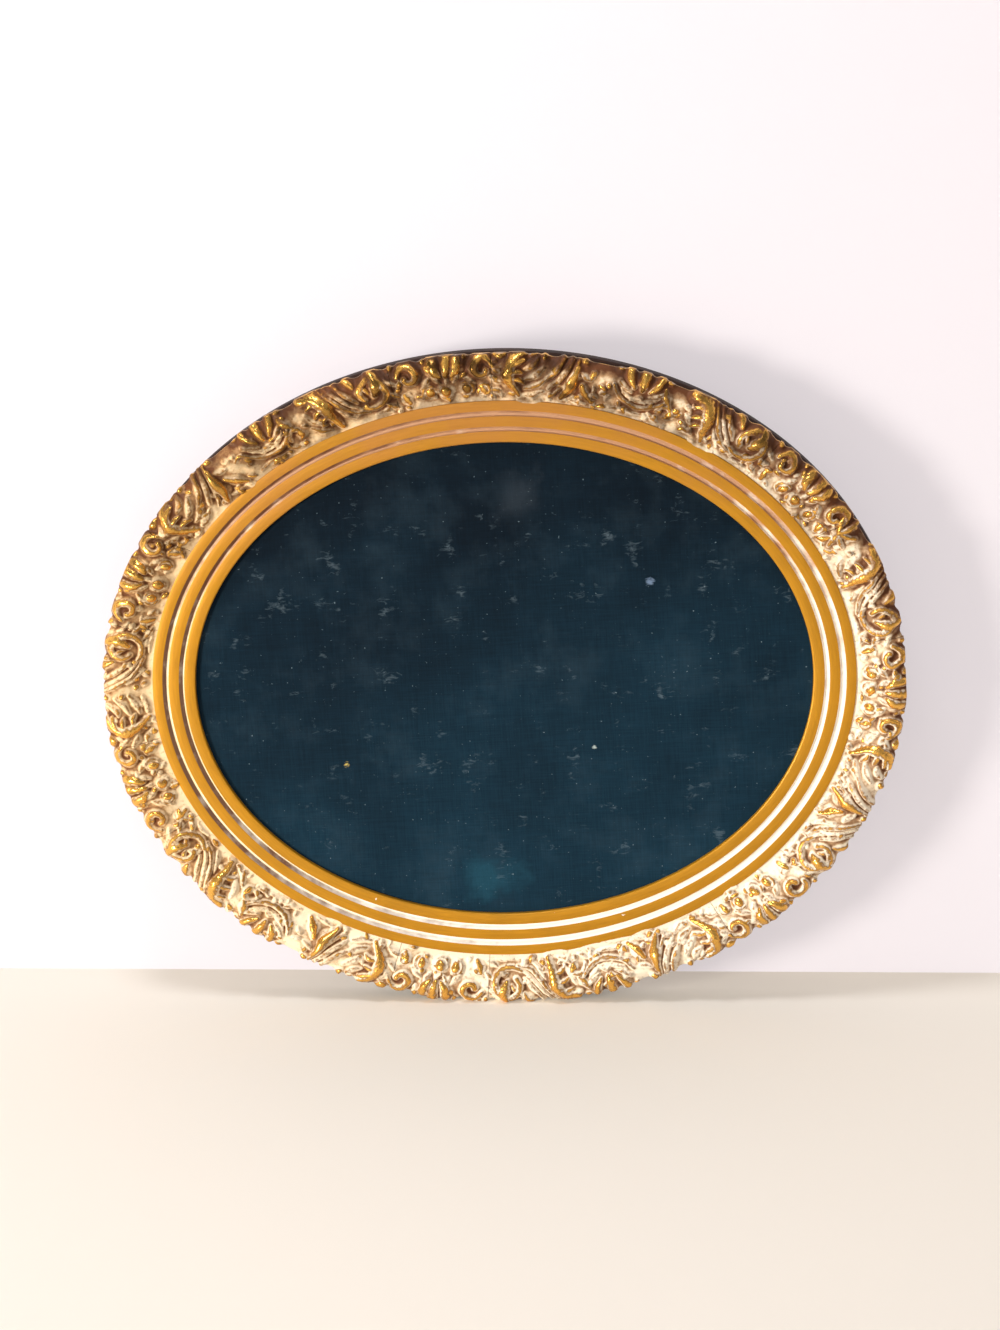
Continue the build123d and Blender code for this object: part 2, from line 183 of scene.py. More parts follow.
class FittingSettings(bpy.types.PropertyGroup):
    """Sizes and colours of the fittings behind the frame"""

    screw_out: length("Screw place", "How far out from the sight edge the screws are", 17.5)
    screw_head: length("Screw head", "Radius of a screw's head", 3.2)
    screw_height: length("Screw height", "Height of a screw's head", 1.9)
    screw_shank: length("Screw shank", "Radius of a screw's shank", 1.5)
    screw_bite: length("Screw bite", "How deep a screw goes into the wood", 7.0)
    screw_seat: length("Screw seat", "Height of the head above the wood", 1.6)
    slot: length("Slot", "Width and depth of a screw's slot", 0.8)
    brass: colour("Brass", "Aged brass", "A8803A")
    brass_patina: colour("Brass patina", "Brass where it has gone brown", "5A4020")
    steel: colour("Steel", "Dull steel", "8C8A86")
    steel_patina: colour("Steel patina", "Steel where it has gone brown", "4A3A2C")


class StageSettings(bpy.types.PropertyGroup):
    """The camera, the lamps and the backdrop"""

    distance: length("Distance", "From the camera to the frame", 3000)
    long_side: IntProperty(name="Long side", description="Long side of the picture in pixels", default=1330)
    wall_gap: length("Wall gap", "From the frame's back to the wall behind it", 38)
    tilt: FloatProperty(
        name="Tilt", description="Turn of the ledge, in degrees, against the frame", default=2.5
    )
    floor: colour("Floor", "Pale ledge", "F3EADB")
    wall: colour("Wall", "Pale wall", "F1E9EC")


# Layout of the moulding

def layout(scene):
    """The sizes that follow from the moulding's settings."""
    moulding = scene.oval_frame_moulding
    inner_edge = moulding.inner_band
    middle_start = inner_edge + moulding.inner_cove
    middle_edge = middle_start + moulding.middle_band
    outer_start = middle_edge + moulding.outer_cove
    outer_edge = outer_start + moulding.outer_band
    inner_face = moulding.lip_back + moulding.lip
    return SimpleNamespace(
        half_width=moulding.sight_width / 2,
        half_height=moulding.sight_height / 2,
        middle_start=middle_start,
        outer_start=outer_start,
        outer_edge=outer_edge,
        coves=((inner_edge, middle_start), (middle_edge, outer_start)),
        border=moulding.border,
        rim=outer_edge + moulding.border,
        inner_face=inner_face,
        middle_face=inner_face + moulding.band_step,
        outer_face=inner_face + 2 * moulding.band_step,
    )


def swell(share):
    """Rise of the border across its width: flat by the gilt band, up to the crest and over it."""
    crest, edge = 0.72, 0.36
    up = (1 - np.cos(np.pi * share / crest)) / 2
    over = 1 - (1 - edge) * ((share - crest) / (1 - crest)) ** 2
    return np.where(share < crest, up, over)


def turned_point(oval, out, height, clock):
    """The point at a distance out, a height forward and a clock angle."""
    return Vector((-(oval.half_width + out) * cos(clock), -height, (oval.half_height + out) * sin(clock)))


# Making pieces

def spun(points, closed, axis, sweep, steps):
    """A line or a loop of points spun about an axis through the origin."""
    bm = bmesh.new()
    line = [bm.verts.new(point) for point in points]
    back_to_start = line[:1] if closed else []
    for point, following in zip(line, line[1:] + back_to_start):
        bm.edges.new((point, following))
    whole = sweep >= tau
    bmesh.ops.spin(
        bm, geom=bm.verts[:] + bm.edges[:], cent=(0, 0, 0), axis=axis, angle=sweep, steps=steps,
        use_merge=whole, use_duplicate=False,
    )
    if whole:
        bmesh.ops.remove_doubles(bm, verts=bm.verts[:], dist=0.01 * MM)
    return bm


def quarter_ring(profile, oval, joint):
    """A closed profile of (out, height) points turned a quarter round from a joint, with its ends filled."""
    turn = Matrix.Rotation(radians(joint), 3, "Y")
    points = [turn @ Vector((-(oval.half_height + out), -height, 0)) for out, height in profile]
    bm = spun(points, True, (0, 1, 0), radians(90), 120)
    bmesh.ops.holes_fill(bm, edges=[edge for edge in bm.edges if edge.is_boundary], sides=0)
    bmesh.ops.recalc_face_normals(bm, faces=bm.faces[:])
    return bm


def round_arrises(bm, width):
    """Rounds the edges that run round the oval and turn sharply."""
    ends = {edge for face in bm.faces if len(face.verts) > 4 for edge in face.edges}
    arrises = [
        edge for edge in bm.edges
        if edge not in ends and len(edge.link_faces) == 2 and edge.calc_face_angle(0) > radians(25)
    ]
    bmesh.ops.bevel(
        bm, geom=arrises, offset=width, offset_type="OFFSET", affect="EDGES", segments=2, profile=0.5,
        material=-1, clamp_overlap=True,
    )


def to_oval(bm, oval):
    """Moves the points of a piece turned as a circle out to the oval, as an oval lathe would."""
    places = bm.verts.layers.float_vector.new("turned")
    for vert in bm.verts:
        out = hypot(vert.co.x, vert.co.z) - oval.half_height
        clock = atan2(vert.co.z, -vert.co.x)
        height = -vert.co.y
        vert[places] = (clock * (oval.half_height + oval.half_width) / 2, out, height)
        vert.co = turned_point(oval, out, height, clock)


def piece(name, bm, materials, body, nodes, sharp=radians(40)):
    """Makes an object from a bmesh with the given finishes, puts it on a body and hides the imported nodes
    that it replaces.
    """
    mesh = bpy.data.meshes.new(name)
    bm.to_mesh(mesh)
    bm.free()
    for material in materials:
        mesh.materials.append(material)
    mesh.shade_smooth()
    mesh.set_sharp_from_angle(angle=sharp)
    made = bpy.data.objects.new(name, mesh)
    bpy.context.scene.collection.objects.link(made)
    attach(made, body)
    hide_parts(*nodes)
    return made


def finish_node(part, material):
    """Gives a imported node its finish."""
    part.data.materials.clear()
    part.data.materials.append(material)


# Materials

def node(tree, kind, inputs=None, **settings):
    """Adds a node with its settings and links.

    An input is a value, a colour without its alpha, or the node or socket that feeds it. It goes by number
    where names repeat. A Mix node has its share at 0 and its colours at 6 and 7. A Map Range node has its
    value at 0, the range that it comes in at 1 and 2, and the range that it leaves in at 3 and 4.
    """
    made = tree.nodes.new("ShaderNode" + kind)
    for name, value in settings.items():
        setattr(made, name, value)
    for name, value in (inputs or {}).items():
        socket = made.inputs[name]
        if isinstance(value, bpy.types.Node):
            value = next(output for output in value.outputs if output.enabled)
        if isinstance(value, bpy.types.NodeSocket):
            tree.links.new(value, socket)
        elif socket.type == "RGBA":
            socket.default_value = (*value, 1)
        else:
            socket.default_value = value
    return made


def new_material(name):
    """An empty material and its tree."""
    material = bpy.data.materials.new(name)
    material.use_nodes = True
    material.node_tree.nodes.clear()
    return material, material.node_tree


def per(distance):
    """A texture's scale for features of a real size."""
    return 1 / distance


def towards(tree, place, direction, noise, low, high, least=0.0, most=1.0):
    """A share that grows towards one side of the frame, with an edge that a noise makes uneven."""
    side = node(tree, "VectorMath", {0: place, 1: direction}, operation="DOT_PRODUCT")
    uneven = node(tree, "Math", {0: side, 1: noise}, operation="ADD")
    return node(tree, "MapRange", {0: uneven, 1: low, 2: high, 3: least, 4: most})


def bronze_painted_gesso(moulding):
    """Bronze powder paint brushed on gesso: a low, warm sheen with faint turning lines, a few chips and a
    painted brown shade along the top.
    """
    material, tree = new_material("bronze_painted_gesso")
    turned = node(tree, "Attribute", attribute_name="turned").outputs["Vector"]
    place = node(tree, "TexCoord").outputs["Object"]
    lines = node(tree, "VectorMath", {0: turned, 1: (0.07, 1, 1)}, operation="MULTIPLY")
    brushed = node(tree, "TexNoise", {"Vector": lines, "Scale": per(1.4 * MM), "Detail": 4})
    clouds = node(tree, "TexNoise", {"Vector": place, "Scale": per(40 * MM), "Detail": 3})
    chips = node(tree, "TexNoise", {"Vector": place, "Scale": per(9 * MM), "Detail": 2})
    tone = node(tree, "Math", {0: brushed, 1: clouds}, operation="ADD")
    even = node(tree, "MapRange", {0: tone, 1: 0.7, 2: 1.3})
    # painted shade: the bronze is darker and browner along the top
    shaded_top_bronze = towards(tree, place, (-0.3, 0, 3.0), clouds, 0.85, 1.25, 0.0, 0.55)
    chipped = node(tree, "MapRange", {0: chips, 1: 0.765, 2: 0.785})
    surface = [channel * 0.8 for channel in moulding.gilt]
    for cover, coat in ((even, moulding.gilt), (shaded_top_bronze, moulding.shaded_gilt), (chipped, moulding.cream)):
        surface = node(tree, "Mix", {0: cover, 6: surface, 7: coat}, data_type="RGBA")
    rough = node(tree, "MapRange", {0: brushed, 3: 0.34, 4: 0.5})
    bump = node(tree, "Bump", {"Height": brushed, "Strength": 0.25, "Distance": 0.1 * MM})
    shader = node(tree, "BsdfPrincipled", {
        "Base Color": surface, "Roughness": rough, "Metallic": 0.4, "Normal": bump,
    })
    node(tree, "OutputMaterial", {"Surface": shader})
    return material


def cream_painted_gesso(name, moulding, coats):
    """Old cream paint in the coves: matt, with coats of yellowed paint, painted brown shade and painted shade
    with some dirt, each thicker to one side.
    """
    material, tree = new_material(name)
    place = node(tree, "TexCoord").outputs["Object"]
    spots = node(tree, "TexNoise", {"Vector": place, "Scale": per(14 * MM), "Detail": 5})
    surface = moulding.cream
    for direction, cover_range, coat in coats:
        cover = towards(tree, place, direction, spots, *cover_range)
        surface = node(tree, "Mix", {0: cover, 6: surface, 7: coat}, data_type="RGBA")
    shader = node(tree, "BsdfPrincipled", {"Base Color": surface, "Roughness": 0.55})
    node(tree, "OutputMaterial", {"Surface": shader})
    return material


def stained_poplar(name, base, angle, roughness, gloss=0.25):
    """Stained close grained wood: brown with long streaks along the board and darker pores."""
    material, tree = new_material(name)
    place = node(tree, "TexCoord").outputs["Object"]
    turned = node(tree, "Mapping", {"Vector": place, "Rotation": (0, angle, 0)})
    stretched = node(tree, "VectorMath", {0: turned, 1: (0.06, 1, 1)}, operation="MULTIPLY")
    grain = node(tree, "TexNoise", {"Vector": stretched, "Scale": per(2.2 * MM), "Detail": 6})
    rings = node(tree, "TexNoise", {"Vector": stretched, "Scale": per(14 * MM), "Detail": 2})
    tone = node(tree, "Math", {0: grain, 1: rings}, operation="ADD")
    pale = node(tree, "MapRange", {0: tone, 1: 0.75, 2: 1.25})
    dark = [channel * 0.45 for channel in base]
    light = [min(channel * 1.35, 1) for channel in base]
    wood = node(tree, "Mix", {0: pale, 6: dark, 7: light}, data_type="RGBA")
    bump = node(tree, "Bump", {"Height": grain, "Strength": 0.3, "Distance": 0.15 * MM})
    shader = node(tree, "BsdfPrincipled", {
        "Base Color": wood, "Roughness": roughness, "Specular IOR Level": gloss, "Normal": bump,
    })
    node(tree, "OutputMaterial", {"Surface": shader})
    return material


def rubbed_composition(ornament):
    """Moulded composition: cream paint, brown wash in the hollows, thin bronze and gold on the crests, and
    painted shade along the top.
    """
    material, tree = new_material("rubbed_composition")
    place = node(tree, "TexCoord").outputs["Object"]
    gilding = node(tree, "Attribute", attribute_name="gilding").outputs["Fac"]
    hollow = node(tree, "Attribute", attribute_name="hollow").outputs["Fac"]
    fine = node(tree, "TexNoise", {"Vector": place, "Scale": per(3 * MM), "Detail": 4})
    broad = node(tree, "TexNoise", {"Vector": place, "Scale": per(28 * MM), "Detail": 3})
    patches = node(tree, "TexNoise", {"Vector": place, "Scale": per(13 * MM), "Detail": 3})
    yellow = towards(tree, place, (-2.0, 0, 1.0), broad, 0.2, 1.0, 0.0, 0.85)
    # painted shade: the top is darker, with more wash, a patchy dark coat and its gold spread further
    top = (-0.1, 0, 2.8)
    top_shade_share = towards(tree, place, top, broad, 0.6, 1.3)
    # painted shade: more wash towards the top and less towards the bottom
    top_shade_wash = towards(tree, place, top, broad, -0.3, 1.3, -0.16, 0.16)
    settled = node(tree, "Math", {0: fine, 1: -0.5}, operation="ADD")
    washed = node(tree, "Math", {0: settled, 1: 0.5, 2: hollow}, operation="MULTIPLY_ADD")
    washed = node(tree, "Math", {0: washed, 1: top_shade_wash}, operation="ADD")
    # thin wash is tan, and only where it lies thick is it dark
    thin_wash = node(tree, "MapRange", {0: washed, 1: 0.0, 2: 0.34, 4: 0.8})
    thick_wash = node(tree, "MapRange", {0: washed, 1: 0.16, 2: 0.62, 4: 0.92})
    heavier = node(tree, "MapRange", {0: top_shade_share, 3: 1.0, 4: 1.5})
    rubbed = node(tree, "Math", {0: gilding, 1: heavier, 2: settled}, operation="MULTIPLY_ADD")
    thin_gold = node(tree, "MapRange", {0: rubbed, 1: 0.1, 2: 0.42})
    thick_gold = node(tree, "MapRange", {0: rubbed, 1: 0.32, 2: 0.7})
    patchy = node(tree, "MapRange", {0: patches, 1: 0.4, 2: 0.56, 3: 0.05, 4: 0.85})
    # the patchy dark coat of painted shade along the top
    top_shade_coat = node(tree, "Math", {0: top_shade_share, 1: patchy}, operation="MULTIPLY")
    surface = ornament.cream
    coats = (
        (yellow, ornament.yellowed), (thin_wash, ornament.thin_wash), (thick_wash, ornament.wash),
        (thin_gold, ornament.bronze), (thick_gold, ornament.gilt), (top_shade_coat, ornament.shade),
    )
    for cover, coat in coats:
        surface = node(tree, "Mix", {0: cover, 6: surface, 7: coat}, data_type="RGBA")
    metal = node(tree, "MapRange", {0: rubbed, 1: 0.2, 2: 0.7, 4: 0.85})
    rough = node(tree, "MapRange", {0: thick_gold, 3: 0.5, 4: 0.26})
    bump = node(tree, "Bump", {"Height": fine, "Strength": 0.3, "Distance": 0.5 * MM})
    shader = node(tree, "BsdfPrincipled", {
        "Base Color": surface, "Roughness": rough, "Metallic": metal, "Specular IOR Level": 0.12,
        "Normal": bump,
    })
    node(tree, "OutputMaterial", {"Surface": shader})
    return material


def plain_weave(tree, place, cloth):
    """The weave's height and its dyed colour. Its threads are drawn as coarse as they need to show."""
    threads = []
    for stretch in ((0.05, 1, 1), (1, 1, 0.05)):
        drawn = node(tree, "VectorMath", {0: place, 1: stretch}, operation="MULTIPLY")
        threads.append(
            node(tree, "TexNoise", {"Vector": drawn, "Scale": per(cloth.thread), "Detail": 2})
        )
    weave = node(tree, "Math", {0: threads[0], 1: threads[1]}, operation="ADD")
    clouds = node(tree, "TexNoise", {"Vector": place, "Scale": per(90 * MM), "Detail": 4})
    # lighter and more teal towards the bottom, darker towards the top
    teal_below = towards(tree, place, (0.6, 0, -2.2), clouds, 0.1, 1.05)
    deep = [channel * 0.4 for channel in cloth.dye]
    teal = [channel * gain for channel, gain in zip(cloth.dye, (1.5, 1.75, 1.6))]
    dyed = node(tree, "Mix", {0: teal_below, 6: deep, 7: teal}, data_type="RGBA")
    tone = node(tree, "MapRange", {0: weave, 1: 0.7, 2: 1.3, 3: 0.82, 4: 1.2})
    return weave, node(tree, "VectorMath", {0: dyed, 1: tone}, operation="MULTIPLY")


def dyed_cotton(cloth):
    """Blue black dyed cotton, stretched and old: a plain weave with slubs, dust specks and rubbed smudges."""
    material, tree = new_material("dyed_cotton")
    place = node(tree, "TexCoord").outputs["Object"]
    weave, woven = plain_weave(tree, place, cloth)
    haze = node(tree, "TexNoise", {
        "Vector": place, "Scale": per(45 * MM), "Detail": 7, "Roughness": 0.65,
    })
    hazy = node(tree, "MapRange", {0: haze, 1: 0.5, 2: 0.85, 4: 0.035})
    # short rubbed strokes, nearly level, in patches
    level = node(tree, "Mapping", {"Vector": place, "Rotation": (0, 0.2, 0), "Scale": (0.45, 1, 1)})
    strokes = node(tree, "TexNoise", {
        "Vector": level, "Scale": per(3.4 * MM), "Detail": 5, "Roughness": 0.65, "Distortion": 0.8,
    })
    patches = node(tree, "TexNoise", {"Vector": place, "Scale": per(20 * MM), "Detail": 2})
    rubbed = node(tree, "Math", {0: strokes, 1: patches}, operation="ADD")
    dusty = node(tree, "MapRange", {0: rubbed, 1: 1.19, 2: 1.45, 4: 0.24})
    specks = node(tree, "TexNoise", {"Vector": place, "Scale": per(2.4 * MM), "Detail": 2})
    specked = node(tree, "MapRange", {0: specks, 1: 0.73, 2: 0.8, 4: 0.55})
    for other in (specked, hazy):
        dusty = node(tree, "Math", {0: other, 1: dusty}, operation="MAXIMUM")
    surface = node(tree, "Mix", {0: dusty, 6: woven, 7: cloth.dust}, data_type="RGBA")
    flat = node(tree, "VectorMath", {0: place, 1: (1, 0, 1)}, operation="MULTIPLY")
    for (across, up), radius, strength, code in CLOTH_MARKS:
        size = radius * MM
        away = node(tree, "VectorMath", {0: flat, 1: (across * MM, 0, up * MM)}, operation="DISTANCE")
        # a wide mark has a cloudy edge and a small one a ragged edge
        edge = haze if radius > 10 else strokes
        uneven = node(tree, "Math", {0: edge, 1: 4 * size, 2: away}, operation="MULTIPLY_ADD")
        cover = node(tree, "MapRange", {0: uneven, 1: 3.1 * size, 2: 2.2 * size, 4: strength})
        surface = node(tree, "Mix", {0: cover, 6: surface, 7: linear(code)}, data_type="RGBA")
    bump = node(tree, "Bump", {"Height": weave, "Strength": 0.3, "Distance": 0.2 * MM})
    shader = node(tree, "BsdfPrincipled", {
        "Base Color": surface, "Roughness": 0.85, "Specular IOR Level": 0.08, "Sheen Weight": 0.02,
        "Normal": bump,
    })
    node(tree, "OutputMaterial", {"Surface": shader})
    return material


def pressed_board(cloth):
    """Brown pressed fibre board: matt, mottled by its fibres, with a few water marks."""
    material, tree = new_material("pressed_board")
    place = node(tree, "TexCoord").outputs["Object"]
    fibres = node(tree, "TexNoise", {"Vector": place, "Scale": per(2.5 * MM), "Detail": 6})
    stains = node(tree, "TexNoise", {"Vector": place, "Scale": per(160 * MM), "Detail": 8})
    tone = node(tree, "Math", {0: fibres, 1: stains}, operation="ADD")
    pale = node(tree, "MapRange", {0: tone, 1: 0.6, 2: 1.4})
    board = node(tree, "Mix", {0: pale, 6: cloth.fibres, 7: cloth.board}, data_type="RGBA")
    bump = node(tree, "Bump", {"Height": fibres, "Strength": 0.3, "Distance": 0.2 * MM})
    shader = node(tree, "BsdfPrincipled", {"Base Color": board, "Roughness": 0.75, "Normal": bump})
    node(tree, "OutputMaterial", {"Surface": shader})
    return material


def aged_metal(name, base, patina, roughness):
    """Bare metal gone dull with handling: brighter where it is rubbed and brown where it isn't."""
    material, tree = new_material(name)
    place = node(tree, "TexCoord").outputs["Object"]
    spots = node(tree, "TexNoise", {"Vector": place, "Scale": per(2.5 * MM), "Detail": 4})
    dull = node(tree, "MapRange", {0: spots, 1: 0.35, 2: 0.9})
    metal = node(tree, "Mix", {0: dull, 6: base, 7: patina}, data_type="RGBA")
    rough = node(tree, "MapRange", {0: dull, 3: roughness, 4: roughness + 0.25})
    shader = node(tree, "BsdfPrincipled", {"Base Color": metal, "Roughness": rough, "Metallic": 1})
    node(tree, "OutputMaterial", {"Surface": shader})
    return material


# Turned moulding: its finishes, in the order of its materials, and how far the painted shade and dirt reach
# on a cove's floor
BRONZE, CREAM, STAINED, BARE, SHADED_GRIMED = range(5)
SHADE_GRIME_REACH = 1.0 * MM


def face_profile(scene, oval):
    """The front layer: lip, three gilt bands with two coves between them, and the ornament's seat."""
    moulding = scene.oval_frame_moulding
    ornament = scene.oval_frame_ornament
    rounding, lip_edge = 1.4 * MM, 0.4 * MM
    points = [(0, moulding.lip_back), (0, oval.inner_face - rounding), (lip_edge, oval.inner_face - lip_edge)]
    bands = ((rounding, oval.inner_face), (oval.middle_start, oval.middle_face))
    for (band_start, face), (cove_start, cove_end) in zip(bands, oval.coves):
        floor = face - moulding.cove_depth
        slope = cove_end - moulding.cove_slope
        points += [
            (band_start, face), (cove_start, face), (cove_start + lip_edge, floor),
            (slope - SHADE_GRIME_REACH, floor), (slope, floor),
        ]
    points += [(oval.outer_start, oval.outer_face), (oval.outer_edge, oval.outer_face)]
    for share in np.linspace(0, 1, 13):
        rise = ornament.rise * float(swell(share))
        points.append((oval.outer_edge + moulding.border * share, ornament.seat + rise))
    recess = moulding.recess_depth
    return points + [(oval.rim, recess), (moulding.rebate, recess), (moulding.rebate, moulding.lip_back)]


def paint_moulding(bm, moulding, oval):
    """Gives each face its finish."""
    margin = 0.05 * MM
    for face in bm.faces:
        centre = face.calc_center_median()
        out = hypot(centre.x, centre.z) - oval.half_height
        if out > oval.rim - margin:
            face.material_index = STAINED
        elif -centre.y < moulding.lip_back + margin or out > oval.outer_edge + margin:
            face.material_index = BARE
        else:
            face.material_index = BRONZE
            for start, end in oval.coves:
                if start < out < end:
                    # the slope, and the floor's edge beside it, take the painted shade and dirt
                    in_shade_and_grime = out > end - moulding.cove_slope - SHADE_GRIME_REACH + margin
                    face.material_index = SHADED_GRIMED if in_shade_and_grime else CREAM


class OVALFRAME_OT_moulding(bpy.types.Operator):
    """Builds the four turned segments of the front layer"""

    bl_idname = "oval_frame.moulding"
    bl_label = "Gilt moulding"

    def execute(self, context):
        scene = context.scene
        moulding = scene.oval_frame_moulding
        oval = layout(scene)
        top, left = (-0.1, 0, 3), (-2.2, 0, 0.5)
        # painted shade: a brown coat on the coves along the top
        brown_shade = (top, (0.55, 0.95), moulding.brown_shade)
        yellowed = (left, (0.55, 1.1, 0.0, 0.9), moulding.yellowed)
        # painted shade with some dirt: a dark coat on the cove slopes, heaviest on the left
        shade_and_grime = (left, (0.5, 1.0, 0.08, 0.95), moulding.shade_and_grime)
        finishes = [
            bronze_painted_gesso(moulding),
            cream_painted_gesso("cream_painted_gesso", moulding, [yellowed, brown_shade]),
            stained_poplar("stained_side", moulding.stain, 0, 0.85, gloss=0.05),
            stained_poplar("bare_poplar", moulding.bare_wood, 0, 0.7),
            cream_painted_gesso("shaded_grimed_gesso", moulding, [brown_shade, shade_and_grime]),
        ]
        profile = face_profile(scene, oval)
        for number, joint in enumerate(FACE_JOINTS, start=1):
            bm = quarter_ring(profile, oval, joint)
            paint_moulding(bm, moulding, oval)
            round_arrises(bm, moulding.arris)
            to_oval(bm, oval)
            nodes = [f"face_segment_{number}"]
            piece(f"gilt_moulding_{number}", bm, finishes, BODY, nodes, sharp=radians(50))
        return {"FINISHED"}


class OVALFRAME_OT_back_ring(bpy.types.Operator):
    """Builds the four sawn segments of the back layer"""

    bl_idname = "oval_frame.back_ring"
    bl_label = "Back ring"

    def execute(self, context):
        scene = context.scene
        moulding = scene.oval_frame_moulding
        oval = layout(scene)
        chamfer = 1.5 * MM
        inside = oval.rim - moulding.back_ring
        recess = moulding.recess_depth
        profile = [
            (inside, 0), (inside, recess), (oval.rim, recess), (oval.rim, chamfer), (oval.rim - chamfer, 0),
        ]
        for number, joint in enumerate(BACK_JOINTS, start=1):
            chord = turned_point(oval, 0, 0, radians(joint + 90)) - turned_point(oval, 0, 0, radians(joint))
            wood = stained_poplar(f"stained_poplar_{number}", moulding.stain, atan2(chord.z, chord.x), 0.6)
            bm = quarter_ring(profile, oval, joint)
            round_arrises(bm, moulding.arris)
            to_oval(bm, oval)
            piece(f"back_ring_{number}", bm, [wood], BODY, [f"back_segment_{number}"])
        return {"FINISHED"}


# Ornament
#
# Places are millimetres along the border clockwise from a floret or palmette, and across it from the gilt
# band. A stroke follows a path, and has half widths at its start, middle and end, a height as a share of
# the tallest relief, how heavily it is gilded, and its carving. A curl is a stroke on a spiral: centre,
# first and last radius, first angle and sweep in degrees.
PLAIN, VEINED, FLUTED = range(3)
VEIN_SPACING = 3.4 * MM
SMALL_LEAF_SPACING = 3.0 * MM

FLORET_STROKES = (
    (((-4, 24), (-7, 29), (-8, 34)), (1.6, 3.4, 3.9), 0.95, 1.0, VEINED),
    (((0, 24), (1, 31), (1.5, 38)), (1.8, 3.6, 4.2), 1.00, 1.0, VEINED),
    (((5, 24), (8, 29), (9, 33.5)), (1.6, 3.4, 3.7), 0.95, 1.0, VEINED),
    (((-11, 30), (-13, 32)), (1.5, 1.8, 1.6), 0.60, 0.8, PLAIN),
    (((-10, 27), (-7.5, 22), (-5, 18)), (0.9, 1.7, 0.7), 0.45, 0.3, PLAIN),
    (((10.5, 27), (8, 22), (5.5, 18)), (0.9, 1.7, 0.7), 0.45, 0.3, PLAIN),
    (((1, 23), (0.5, 19), (0, 16)), (1.4, 1.5, 0.6), 0.35, 0.2, PLAIN),
    (((-15, 36), (-15.5, 38.5)), (1.6, 2.0, 1.8), 0.55, 0.8, PLAIN),
    (((15, 36), (16, 38.5)), (1.6, 2.0, 1.8), 0.55, 0.8, PLAIN),
    (((-40, 36), (-40, 39)), (1.8, 2.2, 1.8), 0.55, 0.7, PLAIN),
    (((-13, 24), (-17, 18), (-20, 16)), (0.8, 1.8, 0.7), 0.45, 0.35, FLUTED),
    (((13, 23), (18, 19), (22, 16)), (0.8, 1.8, 0.7), 0.45, 0.35, FLUTED),
    (((-35, 14.5), (-33.5, 10), (-32, 6)), (1.0, 2.5, 1.5), 0.55, 0.9, PLAIN),
    (((-14, 12.5), (-14, 10.5)), (2.7, 3.0, 2.7), 0.70, 1.0, PLAIN),
    (((-1.6, 10.9), (-1.4, 10.4)), (3.6, 3.7, 3.6), 0.78, 0.9, PLAIN),
    (((15, 12.5), (15, 10.5)), (2.7, 3.0, 2.7), 0.70, 1.0, PLAIN),
    (((28, 12), (29.5, 8)), (1.9, 2.3, 1.5), 0.55, 0.9, PLAIN),
    (((35, 21), (40, 17), (46, 15)), (1.0, 2.0, 0.8), 0.45, 0.3, FLUTED),
    (((37, 31), (40, 26), (45, 22)), (0.9, 2.2, 0.8), 0.50, 0.35, FLUTED),
    (((34, 10), (40, 8), (45, 5)), (0.9, 1.9, 0.7), 0.40, 0.4, FLUTED),
)
FLORET_CURLS = (
    ((-28, 27.5), (8.6, 3.0), (165, -330), (1.2, 2.3, 1.6), 0.85, 0.75, FLUTED),
    ((28.6, 27.5), (8.6, 3.0), (15, 330), (1.2, 2.4, 1.6), 0.85, 0.75, FLUTED),
    ((-1.5, 10.6), (5.6, 5.4), (120, 215), (0.7, 1.2, 0.7), 0.40, 0.35, PLAIN),
    ((-14, 11.5), (5.4, 5.0), (60, 200), (0.7, 1.3, 0.7), 0.45, 0.5, PLAIN),
    ((15, 11.5), (5.4, 5.0), (120, -200), (0.7, 1.3, 0.7), 0.45, 0.5, PLAIN),
    ((29, 10), (4.8, 4.0), (150, -240), (0.6, 1.1, 0.6), 0.40, 0.5, PLAIN),
    ((-33, 10.5), (4.8, 4.4), (60, 190), (0.6, 1.0, 0.6), 0.32, 0.2, PLAIN),
)
AFTER_STROKES = (
    (((39, 38), (42, 36.5), (45, 38)), (1.8, 2.8, 1.8), 0.65, 1.0, PLAIN),
    (((61, 37.5), (53, 34), (48.5, 26), (49.5, 16), (57, 5)), (2.0, 4.5, 1.3), 1.00, 1.0, VEINED),
    (((52, 31), (56, 32.5), (61, 33)), (1.9, 1.9, 0.8), 0.75, 0.9, PLAIN),
    (((50, 25), (55, 25.5), (59, 24.5)), (1.9, 2.0, 0.8), 0.75, 0.8, PLAIN),
    (((52, 18), (57, 17.5), (61, 15)), (1.7, 1.9, 0.7), 0.65, 0.7, PLAIN),
    (((39, 29), (43, 30), (46, 34)), (1.2, 2.0, 0.9), 0.50, 0.4, FLUTED),
    (((61, 28), (66, 30), (70, 35)), (1.0, 2.2, 1.2), 0.55, 0.35, FLUTED),
    (((62, 19), (68, 22), (75, 29)), (1.0, 2.2, 1.0), 0.50, 0.3, FLUTED),
    (((62, 11), (69, 13), (77, 19)), (1.0, 2.2, 0.9), 0.50, 0.4, FLUTED),
    (((61, 5), (68, 5.5), (76, 9)), (1.0, 2.0, 0.8), 0.45, 0.3, FLUTED),
    (((75, 36), (76, 39)), (1.9, 2.4, 1.9), 0.60, 0.8, PLAIN),
    (((64, 38), (68, 37)), (1.4, 1.9, 1.2), 0.50, 0.5, PLAIN),
)
